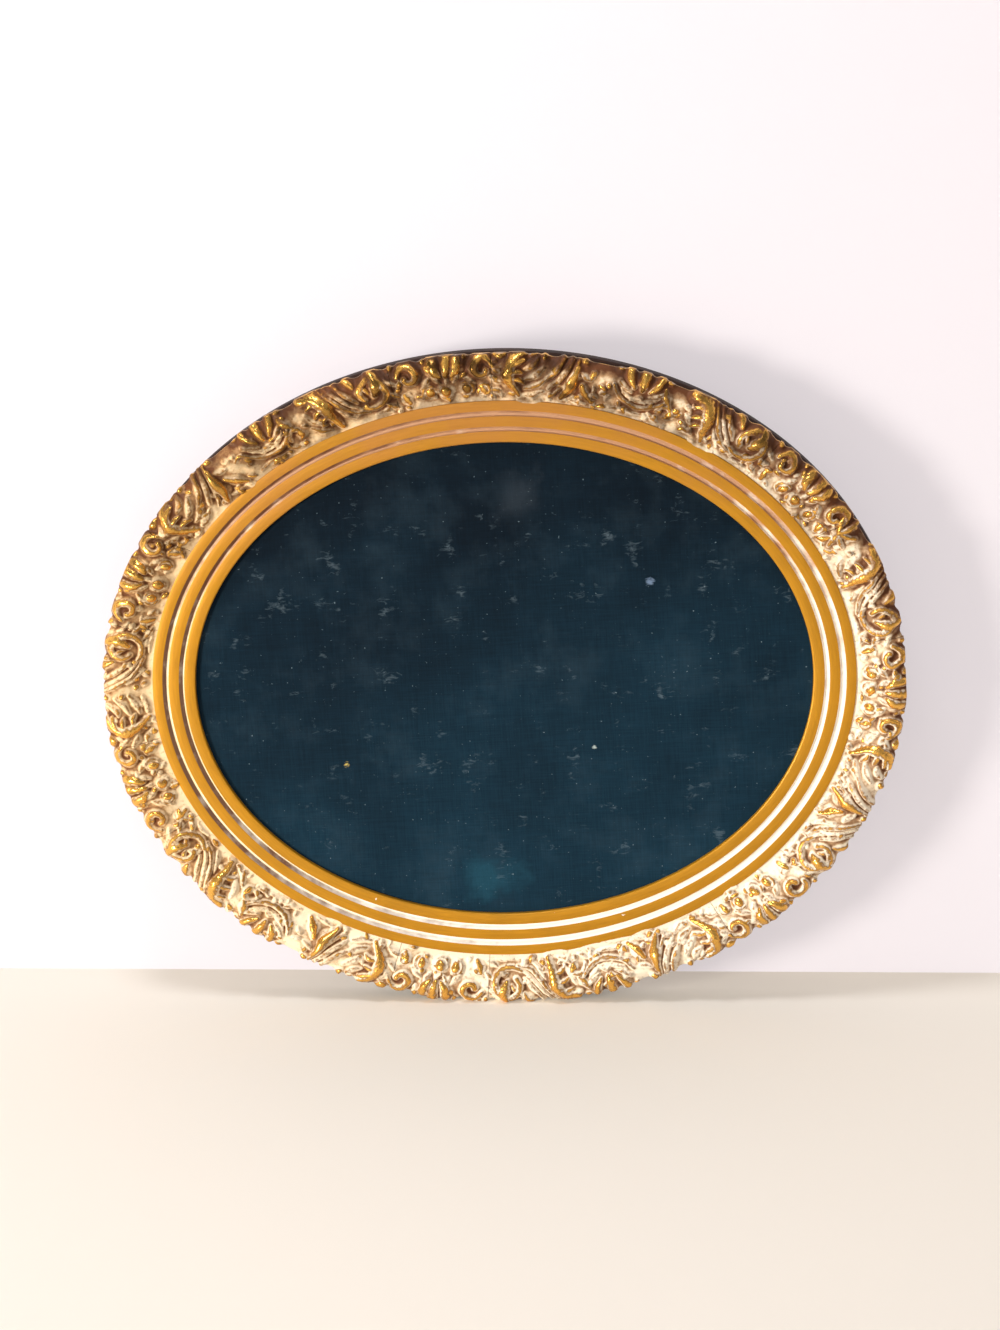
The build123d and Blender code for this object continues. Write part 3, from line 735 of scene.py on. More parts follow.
BLADE_STROKES = (
    (((76, 18), (84, 26), (91, 38)), (0.8, 2.1, 1.2), 0.60, 0.4, PLAIN),
    (((80, 12), (89, 22), (97, 38)), (0.8, 2.2, 1.2), 0.68, 0.3, FLUTED),
    (((84, 6), (93, 18), (101, 37)), (0.8, 1.9, 1.0), 0.60, 0.45, PLAIN),
    (((100, 31), (98, 23), (96, 14), (91.5, 5)), (1.6, 4.4, 1.5), 1.00, 1.0, PLAIN),
    (((103, 37.5), (106, 36)), (1.5, 2.3, 1.5), 0.55, 0.7, PLAIN),
    (((104, 28), (108, 25), (112, 24)), (1.1, 1.9, 0.9), 0.45, 0.3, PLAIN),
    (((106, 18), (109.5, 12), (116.5, 5)), (1.7, 3.0, 1.2), 0.80, 1.0, VEINED),
    (((98, 5), (104, 3.5), (112, 3)), (0.8, 1.4, 0.7), 0.32, 0.25, PLAIN),
)
PALMETTE_STROKES = (
    (((-12, 37), (-10, 32), (-6, 26)), (2.6, 2.4, 1.0), 0.72, 0.9, VEINED),
    (((0, 39), (0, 33), (0, 25)), (3.4, 3.0, 1.1), 0.85, 1.0, VEINED),
    (((12, 37), (10, 32), (6, 26)), (2.6, 2.4, 1.0), 0.72, 0.9, VEINED),
    (((-17, 29), (-12, 25), (-7, 22)), (1.5, 1.7, 0.8), 0.50, 0.3, PLAIN),
    (((17, 29), (12, 25), (7, 22)), (1.5, 1.7, 0.8), 0.50, 0.3, PLAIN),
    (((-13, 21), (-9, 19), (-5, 18)), (1.2, 1.5, 0.7), 0.42, 0.2, PLAIN),
    (((13, 21), (9, 19), (5, 18)), (1.2, 1.5, 0.7), 0.42, 0.2, PLAIN),
    (((-6, 15), (0, 19), (6, 15)), (0.8, 1.5, 0.8), 0.40, 0.3, PLAIN),
    (((17, 37), (20, 38.5)), (1.6, 2.1, 1.6), 0.55, 0.7, PLAIN),
    (((-18, 37.5), (-21, 38.5)), (1.6, 2.1, 1.6), 0.55, 0.6, PLAIN),
    (((17, 32), (20, 26), (24, 21)), (1.2, 2.3, 1.0), 0.62, 0.7, FLUTED),
    (((27.5, 15), (27, 12)), (1.9, 2.4, 1.9), 0.60, 1.0, PLAIN),
    (((-20, 4), (-10, 5.5), (0, 5), (10, 6)), (0.7, 1.5, 0.7), 0.35, 0.3, PLAIN),
    (((11, 9), (16, 6), (21, 4)), (0.8, 1.6, 0.7), 0.38, 0.35, PLAIN),
)
PALMETTE_CURLS = (
    ((0, 34), (23, 23), (203, 134), (0.9, 1.9, 0.9), 0.62, 0.45, PLAIN),
    ((0, 34), (18.5, 18.5), (212, 116), (0.6, 1.1, 0.6), 0.40, 0.15, PLAIN),
    ((23.5, 13), (7.2, 3.4), (185, -260), (1.0, 1.6, 1.0), 0.50, 0.4, PLAIN),
)
BEFORE_STROKES = (
    (((-112, 36), (-103, 34), (-97, 26), (-95, 15), (-92, 4)), (3.0, 4.7, 1.4), 1.00, 1.0, VEINED),
    (((-100, 31), (-105, 31), (-110, 29)), (1.8, 1.8, 0.7), 0.72, 0.8, PLAIN),
    (((-98, 24), (-103, 23), (-108, 20)), (1.8, 1.9, 0.7), 0.70, 0.8, PLAIN),
    (((-97, 16), (-102, 15), (-106, 11)), (1.6, 1.8, 0.7), 0.60, 0.6, PLAIN),
    (((-113, 26), (-110, 18), (-104, 10)), (0.9, 1.9, 0.8), 0.42, 0.2, FLUTED),
    (((-114, 13), (-109, 8), (-101, 5)), (0.9, 2.0, 0.8), 0.42, 0.4, PLAIN),
)
VOLUTE_STROKES = (
    (((-98, 39), (-91, 30), (-84, 19), (-76, 11), (-66, 8)), (0.9, 1.8, 0.9), 0.62, 0.45, PLAIN),
    (((-93, 39), (-87, 31), (-80, 21), (-73, 14), (-66, 11)), (0.8, 1.6, 0.8), 0.55, 0.2, PLAIN),
    (((-87, 39), (-82, 32), (-76, 24), (-71, 18)), (0.8, 1.6, 0.8), 0.50, 0.35, PLAIN),
    (((-89, 20), (-84, 12), (-78, 6)), (0.8, 1.5, 0.7), 0.42, 0.2, PLAIN),
    (((-56, 36), (-54, 29), (-57, 21)), (2.6, 4.8, 1.8), 0.98, 1.0, VEINED),
    (((-66, 30), (-63, 27), (-61, 23)), (1.1, 1.8, 0.8), 0.55, 0.6, PLAIN),
    (((-71, 31), (-73, 34), (-78, 38)), (1.2, 2.4, 1.8), 0.62, 0.8, PLAIN),
    (((-50, 10), (-45, 7), (-40, 5)), (0.9, 1.8, 0.8), 0.42, 0.4, PLAIN),
    (((-46, 20), (-42, 16), (-39, 14)), (0.9, 1.7, 0.8), 0.45, 0.5, PLAIN),
    (((-46, 31), (-43, 27), (-38, 24)), (0.9, 1.5, 0.7), 0.38, 0.2, PLAIN),
    (((-62, 3.5), (-54, 4.5), (-48, 3.5)), (0.7, 1.4, 0.7), 0.32, 0.2, PLAIN),
)
VOLUTE_CURLS = (
    ((-59.5, 23.5), (14.5, 7.0), (-128, 345), (1.2, 2.6, 1.5), 0.85, 0.6, FLUTED),
)
STAR_STROKES = (
    (((40, 22), (35, 28), (31, 33)), (2.2, 2.4, 0.9), 0.80, 0.9, VEINED),
    (((40, 22), (42, 30), (41, 37)), (2.2, 2.6, 1.0), 0.85, 0.8, VEINED),
    (((40, 22), (47, 27), (51, 31)), (2.2, 2.4, 0.9), 0.75, 0.8, VEINED),
    (((40, 22), (47, 19), (53, 18)), (2.2, 2.2, 0.8), 0.70, 0.5, VEINED),
    (((40, 22), (43, 15), (47, 9)), (2.2, 2.2, 0.9), 0.70, 0.6, VEINED),
    (((40, 14), (38.5, 9), (35, 5)), (1.6, 2.9, 1.2), 0.75, 1.0, PLAIN),
)
# Where each group stands: its place from one floret, at 0, to the next, at 1, and which of the seven gaps
# between florets have it
EVERY_GAP = range(7)
GROUPS = (
    (0, EVERY_GAP, FLORET_STROKES, FLORET_CURLS),
    (1, EVERY_GAP, VOLUTE_STROKES, VOLUTE_CURLS),
    (0, (0, 1, 3, 4, 5, 6), AFTER_STROKES, ()),
    (0, (0, 1, 3, 4, 5), BLADE_STROKES, ()),
    (1, (0, 1, 2, 4, 5), BEFORE_STROKES, ()),
    (0.5, (0, 1, 4, 5), PALMETTE_STROKES, PALMETTE_CURLS),
    (0, (2,), STAR_STROKES, ()),
)
# How far a floret casting reaches before and after its floret
FLORET_BEFORE = 42 * MM
FLORET_AFTER = 35.5 * MM
# Where the composition has run over the outer gilt band: clock angle and half length in degrees
SPILLS = ((126, 2.5), (232, 1.5), (249, 2.0), (256, 5.0), (264, 2.0), (302, 1.5), (97, 2.0), (48, 1.2))


def smooth_path(points):
    """The points of a path with a smooth line between them."""
    points = np.array(points, dtype=float)
    ends = np.vstack([2 * points[0] - points[1], points, 2 * points[-1] - points[-2]])
    line = []
    for before, start, end, after in zip(ends, ends[1:], ends[2:], ends[3:]):
        for part in np.linspace(0, 1, 5)[:-1]:
            bend = 2 * start + (end - before) * part
            bend += (2 * before - 5 * start + 4 * end - after) * part ** 2
            bend += (3 * start - before - 3 * end + after) * part ** 3
            line.append(bend / 2)
    line.append(points[-1])
    return np.array(line)


def spiral_path(centre, radii, turn):
    """The points of a curl, from its first radius and angle to its last."""
    share = np.linspace(0, 1, 28)
    angle = np.radians(turn[0] + turn[1] * share)
    radius = radii[0] + (radii[1] - radii[0]) * share
    return np.column_stack([centre[0] + radius * np.cos(angle), centre[1] + radius * np.sin(angle)])


def border_walk(oval):
    """Clock angles round the border, each with its distance along the border's middle."""
    middle = oval.outer_edge + oval.border / 2
    clocks = np.radians(np.arange(-90, 450.5, 0.5))
    between = (clocks[1:] + clocks[:-1]) / 2
    speed = np.hypot(
        (oval.half_width + middle) * np.sin(between), (oval.half_height + middle) * np.cos(between)
    )
    distances = np.concatenate([[0], np.cumsum(speed * np.diff(clocks))])
    return clocks, distances


def placed(origin, strokes, curls):
    """Strokes and curls as paths in metres round the border, the wide ones on low cushions."""
    fullness = 1.35
    forms = [(smooth_path(path), *rest) for path, *rest in strokes]
    forms += [(spiral_path(centre, radii, turn), *rest) for centre, radii, turn, *rest in curls]
    made = [
        (path * MM + (origin, 0), np.array(widths) * fullness * MM, height, gild, carving)
        for path, widths, height, gild, carving in forms
    ]
    cushions = [
        (path, widths * 1.6, height * 0.35, gild * 0.1, PLAIN)
        for path, widths, height, gild, carving in made if widths.max() > 1.6 * MM
    ]
    return cushions + made


def scattered(start, end, rng):
    """Small leaves strewn over the ground between the main forms."""
    forms = []
    for _ in range(int((end - start) / SMALL_LEAF_SPACING)):
        foot = np.array([rng.uniform(start, end), rng.uniform(1.6, 6.1) ** 2 * MM])
        heading = rng.uniform(0, tau)
        reach = rng.uniform(2.5, 6.5) * MM
        tip = foot + reach * np.array([cos(heading), 0.8 * sin(heading)])
        bend = (foot + tip) / 2 + rng.uniform(-1, 1, 2) * MM
        widths = np.array([1.3, rng.uniform(1.7, 3.0), 0.9]) * MM
        path = smooth_path([foot, bend, tip])
        forms.append((path, widths, rng.uniform(0.25, 0.55), rng.choice([0.15, 0.4, 0.7, 0.95]), PLAIN))
    return forms


def ornament_forms(places, lap):
    """Every form of the ornament round the border."""
    rng = np.random.RandomState(11)
    forms = []
    for gap, (place, following) in enumerate(zip(places, places[1:])):
        for part, gaps, strokes, curls in GROUPS:
            if gap in gaps:
                forms += placed(place + part * (following - place), strokes, curls)
        forms += scattered(place, following, rng)
    return [(path + (shift, 0), *rest) for path, *rest in forms for shift in (-lap, 0, lap)]


def wander(along, across, spacing, seed):
    """Smooth random values from -1 to 1 over the border, at a spacing, from a lattice that repeats."""
    lattice = np.random.RandomState(seed).uniform(-1, 1, (257, 257))
    u, v = along / spacing, across / spacing
    i, j = np.floor(u).astype(int), np.floor(v).astype(int)
    s, t = u - i, v - j
    s, t = s * s * (3 - 2 * s), t * t * (3 - 2 * t)
    i, j = i % 256, j % 256
    low = lattice[i, j] * (1 - s) + lattice[i + 1, j] * s
    high = lattice[i, j + 1] * (1 - s) + lattice[i + 1, j + 1] * s
    return low * (1 - t) + high * t


def softened(values, reach):
    """The moving average of a field over the cells within reach."""
    for axis in (0, 1):
        pad = [(reach + 1, reach) if side == axis else (0, 0) for side in (0, 1)]
        total = np.cumsum(np.pad(values, pad, mode="edge"), axis=axis)
        count = values.shape[axis]
        ahead = np.take(total, range(2 * reach + 1, 2 * reach + 1 + count), axis)
        behind = np.take(total, range(count), axis)
        values = (ahead - behind) / (2 * reach + 1)
    return values


def carved_section(share, narrowing, walked, carving):
    """A form's height from its middle, at share 0, to its edge: rounded, and lower where it narrows."""
    height = (1 - share ** 2) ** 0.6 * narrowing ** 0.5
    if carving == VEINED:
        # slanting cuts that deepen towards the edges
        height *= 1 - 0.3 * share * (0.5 - 0.5 * np.cos(tau * walked / VEIN_SPACING))
    elif carving == FLUTED:
        # a groove along the middle
        height *= 1 - 0.32 * np.exp(-((share / 0.32) ** 2))
    return height


def carve(field, form, relief):
    """Raises one form out of the field."""
    path, widths, height, gild, carving = form
    reach = widths.max() + 2 * MM
    low, high = path.min(axis=0) - reach, path.max(axis=0) + reach
    rows = slice(*np.searchsorted(field.along_axis, (low[0], high[0])))
    columns = slice(*np.searchsorted(field.across_axis, (low[1], high[1])))
    if rows.start >= rows.stop or columns.start >= columns.stop:
        return
    along, across = field.along[rows, columns], field.across[rows, columns]
    runs = np.diff(path, axis=0)
    steps = np.hypot(*runs.T)
    walked = np.concatenate([[0], np.cumsum(steps)])
    half_widths = np.interp(walked / walked[-1], (0, 0.5, 1), widths)
    turned = np.sum(runs[:-1, 0] * runs[1:, 1] - runs[:-1, 1] * runs[1:, 0])
    raised, outer = np.zeros_like(along), np.zeros_like(along)
    for index, (start, run, step) in enumerate(zip(path, runs, steps)):
        part = ((along - start[0]) * run[0] + (across - start[1]) * run[1]) / step ** 2
        side = (run[1] * (along - start[0]) - run[0] * (across - start[1])) / step
        part = np.clip(part, 0, 1)
        away = np.hypot(along - start[0] - part * run[0], across - start[1] - part * run[1])
        half_width = half_widths[index] + part * (half_widths[index + 1] - half_widths[index])
        slanted = walked[index] + part * step + 0.9 * away
        share = np.minimum(away / half_width, 1)
        value = carved_section(share, half_width / widths.max(), slanted, carving)
        outer = np.where(value > raised, side / half_width * np.sign(turned), outer)
        raised = np.maximum(raised, value)
    raised *= height * relief
    above = raised > field.raised[rows, columns]
    # the gold is on the outer side of a bend, and the inner side stays cream
    gilded = gild * np.clip(0.78 + 0.8 * outer, 0.15, 1)
    field.raised[rows, columns] = np.where(above, raised, field.raised[rows, columns])
    field.gild[rows, columns] = np.where(above, gilded, field.gild[rows, columns])


def relief_field(along_axis, across_axis, forms, relief):
    """The relief's height above its ground, and the gilding and wash on it.

    The forms wander a little, as hand made ones do, and the ground between them is rough.
    """
    along, across = np.meshgrid(along_axis, across_axis, indexing="ij")
    field = SimpleNamespace(along_axis=along_axis, across_axis=across_axis)
    field.along = along + 0.7 * MM * wander(along, across, 9 * MM, 1)
    field.across = across + 0.7 * MM * wander(along, across, 9 * MM, 2)
    field.raised = np.zeros_like(along)
    field.gild = np.zeros_like(along)
    for form in forms:
        carve(field, form, relief)
    field.raised = 0.5 * field.raised + 0.5 * softened(field.raised, 1)
    rough = 0.06 * wander(along, across, 2.6 * MM, 3) + 0.2 * wander(along, across, 7 * MM, 4)
    field.raised += rough * MM * np.clip(across / (4 * MM), 0.2, 1)
    # a crest stands above the ground near it, and a hollow lies below the ground near it or further off
    near, far = softened(field.raised, 4), softened(field.raised, 9)
    crest = np.clip(0.25 + (field.raised - near) / (0.9 * MM), 0, 1)
    field.gilding = softened(field.gild, 1) * (0.3 + 0.7 * crest)
    field.hollow = np.clip((far - field.raised - 0.3 * MM) / (2.2 * MM), 0, 1) * 0.7
    field.hollow += np.clip((near - field.raised - 0.2 * MM) / (1.4 * MM), 0, 1) * 0.25
    return field


def flat_casting(rows, columns):
    """A closed slab: a grid for its face, its long sides drawn down and bridged below, its ends filled.

    It is two units square, and its face is at a height of 1 above its back.
    """
    bm = bmesh.new()
    bmesh.ops.create_grid(bm, x_segments=rows, y_segments=columns, size=1)
    for vert in bm.verts:
        vert.co.z = 1
    by_side = 1 - 1e-4
    long_edges = [e for e in bm.edges if all(abs(v.co.y) > by_side for v in e.verts) and e.is_boundary]
    made = bmesh.ops.extrude_edge_only(bm, edges=long_edges)["geom"]
    lower = [item for item in made if isinstance(item, bmesh.types.BMVert)]
    for vert in lower:
        vert.co.z = 0
    lower_edges = [e for e in bm.edges if all(v.co.z < 0.5 for v in e.verts)]
    bridge = bmesh.ops.bridge_loops(bm, edges=lower_edges)
    bmesh.ops.subdivide_edges(bm, edges=bridge["edges"], cuts=8, use_grid_fill=True)
    bmesh.ops.holes_fill(bm, edges=[e for e in bm.edges if e.is_boundary], sides=0)
    bmesh.ops.recalc_face_normals(bm, faces=bm.faces[:])
    return bm


def spill_reach(clocks):
    """How far the composition has run over the gilt band, from 0 to 1, at clock angles."""
    reach = np.zeros_like(clocks)
    for centre, half in SPILLS:
        away = np.abs((np.degrees(clocks) - centre + 180) % 360 - 180) / half
        reach = np.maximum(reach, np.clip(1 - away ** 2, 0, 1))
    return reach


def nearest(values, axis):
    """The number of the axis value that is nearest to each value."""
    return np.argmin(np.abs(values[:, None] - axis[None, :]), axis=1)


def write_finish(mesh, gilding, hollow, brown_shade, face):
    """Writes how heavily each point is gilded and how deep in a hollow it lies, for the material, with the
    painted brown shade along the rim taking off gold and adding to the wash.
    """
    gilding = gilding * (1 - 0.2 * brown_shade)
    hollow = hollow + 0.6 * brown_shade
    for name, values in (("gilding", gilding), ("hollow", hollow)):
        layer = mesh.attributes.new(name, "FLOAT", "POINT")
        layer.data.foreach_set("value", np.where(face, values, brown_shade))


def shape_casting(mesh, start, end, oval, ornament, forms, walk):
    """Bends a flat slab round the border, raises its relief and writes the gilding, the hollows and a painted
    shade along the outer edge on it.
    """
    flat = np.empty(len(mesh.vertices) * 3)
    mesh.vertices.foreach_get("co", flat)
    flat = flat.reshape(-1, 3)
    along = start + (flat[:, 0] + 1) / 2 * (end - start)
    share = (flat[:, 1] + 1) / 2
    across = share * oval.border
    face = flat[:, 2] > 0.5
    along_axis = np.unique(np.round(along[face], 7))
    across_axis = np.unique(np.round(across[face], 7))
    field = relief_field(along_axis, across_axis, forms, ornament.relief)
    row, column = nearest(along, along_axis), nearest(across, across_axis)
    clock = np.interp(along, walk[1], walk[0])
    seat = ornament.seat + ornament.rise * swell(share)
    clearance = 0.05 * MM
    tallest = ornament.seat + ornament.rise + ornament.thickness + ornament.relief - clearance
    top = np.minimum(seat + ornament.thickness + field.raised[row, column], tallest)
    # where a form meets the outer edge, it reaches over it
    edge_relief = softened(field.raised, 2)[:, -4][row] / ornament.relief
    lean = np.clip((share - 0.8) / 0.2, 0, 1)
    out = oval.outer_edge + across + ornament.overhang * np.clip(edge_relief * 2.2, 0, 1) * lean
    # where the composition has run over the gilt band, it lies on it
    root, tongue, lump = 2.4 * MM, 1.6 * MM, 0.5 * MM
    run_over = spill_reach(clock) * (1 + 0.3 * wander(along, across, 3 * MM, 5))
    by_band = np.clip(1 - across / root, 0, 1) * np.clip(run_over, 0, 1)
    out -= tongue * by_band
    top = np.where(face & (by_band > 0.02), np.maximum(top, oval.outer_face + lump * by_band), top)
    height = np.where(face, top, seat + ornament.glue)
    place = np.column_stack([
        -(oval.half_width + out) * np.cos(clock), -height, (oval.half_height + out) * np.sin(clock)
    ])
    mesh.vertices.foreach_set("co", np.clip(place, cad_bounds[0], cad_bounds[1]).ravel())
    # painted shade: the outer edge is darker brown along the top and the right
    topmost = np.clip(1.2 * np.sin(clock) - 0.35 * np.cos(clock), 0, 1)
    brown_shade = topmost * np.clip((share - 0.74) / 0.2, 0, 1)
    write_finish(mesh, field.gilding[row, column], field.hollow[row, column], brown_shade, face)
    mesh.update()


class OVALFRAME_OT_ornament(bpy.types.Operator):
    """Builds the fourteen castings of the ornament"""

    bl_idname = "oval_frame.ornament"
    bl_label = "Moulded ornament"

    def execute(self, context):
        oval = layout(context.scene)
        ornament = context.scene.oval_frame_ornament
        walk = border_walk(oval)
        places = [float(np.interp(radians(clock), *walk)) for clock in FLORETS]
        lap = float(np.interp(tau, *walk) - np.interp(0, *walk))
        places.append(places[0] + lap)
        forms = ornament_forms(places, lap)
        finish = rubbed_composition(ornament)
        columns = ceil(oval.border / ornament.spacing)
        nearby = 25 * MM
        for number, (place, following) in enumerate(zip(places, places[1:]), start=1):
            joints = (place - FLORET_BEFORE, place + FLORET_AFTER, following - FLORET_BEFORE)
            for kind, start, end in (("floret", *joints[:2]), ("leaf", *joints[1:])):
                start += ornament.joint / 2
                end -= ornament.joint / 2
                bm = flat_casting(ceil((end - start) / ornament.spacing), columns)
                nodes = [f"{kind}_casting_{number}"]
                casting = piece(f"ornament_{kind}_{number}", bm, [finish], BODY, nodes)
                near = [
                    form for form in forms
                    if form[0][:, 0].max() > start - nearby and form[0][:, 0].min() < end + nearby
                ]
                shape_casting(casting.data, start, end, oval, ornament, near, walk)
                casting.data.set_sharp_from_angle(angle=radians(75))
        return {"FINISHED"}


# Cloth and board

def cloth_profile(scene, oval):
    """The cloth's section from the middle of its face, over the board's rim and back along the hem."""
    cloth = scene.oval_frame_cloth
    front = scene.oval_frame_moulding.lip_back
    back = front - cloth.wrap
    edge = cloth.cover
    bend = 0.5 * MM
    face = [(-oval.half_height * (1 - share), front) for share in np.linspace(0, 1, 40)[:-1]]
    rim = [(0, front), (edge - bend, front), (edge, front - bend), (edge, back + bend), (edge - bend, back)]
    return face + rim + [(edge - cloth.hem * share, back) for share in (0.35, 0.7, 1)]


def stretched_shell(scene, oval):
    """The cloth's shell: its section spun round and drawn out to the oval, its face a little uneven."""
    cloth = scene.oval_frame_cloth
    front = scene.oval_frame_moulding.lip_back
    points = [(-(oval.half_height + out), -height, 0) for out, height in cloth_profile(scene, oval)]
    bm = spun(points, False, (0, 1, 0), tau, 240)
    bmesh.ops.recalc_face_normals(bm, faces=bm.faces[:])
    if sum((f.calc_area() * f.normal.y for f in bm.faces), 0.0) > 0:
        bmesh.ops.reverse_faces(bm, faces=bm.faces[:])
    place = np.array([vert.co for vert in bm.verts], dtype=float)
    out = np.hypot(place[:, 0], place[:, 2])
    clock = np.arctan2(place[:, 2], -place[:, 0])
    # the circle opens out to the oval over its middle, and keeps its width beyond
    middle = 120 * MM
    across = (out + (oval.half_width - oval.half_height) * np.minimum(out / middle, 1)) * np.cos(clock)
    up = out * np.sin(clock)
    # the face is held at the sight edge, and wanders further in
    in_face = (-place[:, 1] > front - 0.1 * MM) & (out < oval.half_height)
    held = 30 * MM
    reach = np.minimum((oval.half_height - out) / held, 1)
    drift = 0.5 + 0.5 * wander(across + 1, up + 1, 45 * MM, 6)
    behind = place[:, 1] + np.where(in_face, cloth.hollow * reach * drift, 0)
    for vert, spot in zip(bm.verts, np.column_stack([-across, behind, up])):
        vert.co = spot
    return bm


class OVALFRAME_OT_cloth(bpy.types.Operator):
    """Builds the stretched cloth and finishes the board behind it"""

    bl_idname = "oval_frame.cloth"
    bl_label = "Cloth and board"

    def execute(self, context):
        scene = context.scene
        cloth = scene.oval_frame_cloth
        oval = layout(scene)
        bm = stretched_shell(scene, oval)
        panel = piece("stretched_cloth", bm, [dyed_cotton(cloth)], BODY, ["board_cloth"])
        thicken = panel.modifiers.new("Thickness", "SOLIDIFY")
        thicken.thickness = cloth.thickness
        thicken.offset = -1
        finish_node(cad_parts["backing_board"], pressed_board(cloth))
        return {"FINISHED"}


# Fittings

def slotted_screw(fitting):
    """A round headed screw: its profile turned, and a slot cut across the head."""
    seat, head, shank, bite = fitting.screw_seat, fitting.screw_head, fitting.screw_shank, fitting.screw_bite
    edge, point = 0.5 * MM, 2 * MM
    rim = seat + edge
    dome = fitting.screw_height - edge
    profile = [
        (0, -bite), (0.4 * shank, -bite), (shank, point - bite), (shank, seat), (head, seat), (head, rim),
    ]
    for turn in (22.5, 45, 67.5, 90):
        profile.append((head * cos(radians(turn)), rim + dome * sin(radians(turn))))
    bm = spun([(out, 0, height) for out, height in profile], False, (0, 0, 1), tau, 32)
    half_slot = fitting.slot / 2
    for side in (-half_slot, half_slot):
        bmesh.ops.bisect_plane(
            bm, geom=bm.verts[:] + bm.edges[:] + bm.faces[:], plane_co=(0, side, 0), plane_no=(0, 1, 0),
            dist=0.001 * MM,
        )
    bmesh.ops.recalc_face_normals(bm, faces=bm.faces[:])
    centres = {face: face.calc_center_median() for face in bm.faces}
    cut = [face for face, centre in centres.items() if abs(centre.y) < half_slot and centre.z > rim]
    made = bmesh.ops.extrude_face_region(bm, geom=cut)["geom"]
    bmesh.ops.delete(bm, geom=cut, context="FACES")
    for item in made:
        if isinstance(item, bmesh.types.BMVert):
            item.co.z = rim
    return bm


class OVALFRAME_OT_fittings(bpy.types.Operator):
    """Builds the slotted screws and finishes the turn buttons, eyes and rings"""

    bl_idname = "oval_frame.fittings"
    bl_label = "Fittings"

    def execute(self, context):
        scene = context.scene
        fitting = scene.oval_frame_fitting
        oval = layout(scene)
        recess = scene.oval_frame_moulding.recess_depth
        steel = aged_metal("dull_steel", fitting.steel, fitting.steel_patina, 0.35)
        brass = aged_metal("aged_brass", fitting.brass, fitting.brass_patina, 0.3)
        stand = Matrix.Rotation(-pi / 2, 4, "X")
        for number, clock in enumerate(SCREWS, start=1):
            bm = slotted_screw(fitting)
            # each slot stopped at its own angle
            turn = Matrix.Rotation(radians(clock * 1.7 + 20), 4, "Z")
            spot = Matrix.Translation(turned_point(oval, fitting.screw_out, recess, radians(clock)))
            bmesh.ops.transform(bm, matrix=spot @ stand @ turn, verts=bm.verts[:])
            piece(f"slotted_screw_{number}", bm, [steel], BODY, ["button_screws"], sharp=radians(30))
        for name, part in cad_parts.items():
            if name.startswith(("turn_button", "screw_eye", "hanging_ring")):
                finish_node(part, brass)
        return {"FINISHED"}


# Stage

def backdrop_material(name, base, brightness, bounce=0.0, one_sided=False):
    """A plain painted surface. The camera and mirrors see it pale, and it still takes a shadow.

    bounce is the strength of a glow that it gives to other rays than the camera's and mirrors': a painted
    light on what stands close to it, in place of a wall's bounce. A one sided surface can't be seen from
    behind.
    """
    material, tree = new_material(name)
    rays = node(tree, "LightPath").outputs
    seen = rays["Is Camera Ray"]
    for kind in ("Is Glossy Ray", "Is Transmission Ray"):
        seen = node(tree, "Math", {0: seen, 1: rays[kind]}, operation="MAXIMUM")
    share = node(tree, "MapRange", {0: seen, 3: bounce, 4: brightness})
    paint = node(tree, "BsdfPrincipled", {"Base Color": base, "Roughness": 0.9})
    # the glow makes the surface pale to the camera and mirrors, and for other rays it is a painted light on
    # what stands close to it
    glow = node(tree, "Emission", {"Color": base, "Strength": 1.0})
    surface = node(tree, "MixShader", {0: share, 1: paint, 2: glow})
    if one_sided:
        behind = node(tree, "NewGeometry").outputs["Backfacing"]
        clear = node(tree, "BsdfTransparent")
        surface = node(tree, "MixShader", {0: behind, 1: surface, 2: clear})
    node(tree, "OutputMaterial", {"Surface": surface})
    return material


def stage_plane(name, centre, across, along, material):
    """A flat part of the stage."""
    bm = bmesh.new()
    bmesh.ops.create_grid(bm, x_segments=1, y_segments=1, size=1)
    columns = [across, along, across.cross(along).normalized()]
    place = Matrix.Translation(centre) @ Matrix(columns).transposed().to_4x4()
    bmesh.ops.transform(bm, matrix=place, verts=bm.verts[:])
    mesh = bpy.data.meshes.new(name)
    bm.to_mesh(mesh)
    bm.free()
    mesh.materials.append(material)
    made = bpy.data.objects.new(name, mesh)
    bpy.context.scene.collection.objects.link(made)


def softbox(name, place, target, size, watts, tint):
    """A soft lamp aimed at a place."""
    lamp = bpy.data.lights.new(name, "AREA")
    lamp.shape = "DISK"
    lamp.size = size
    lamp.energy = watts
    lamp.color = tint
    made = bpy.data.objects.new(name, lamp)
    made.location = place
    made.rotation_euler = (target - Vector(place)).to_track_quat("-Z", "Y").to_euler()
    bpy.context.scene.collection.objects.link(made)


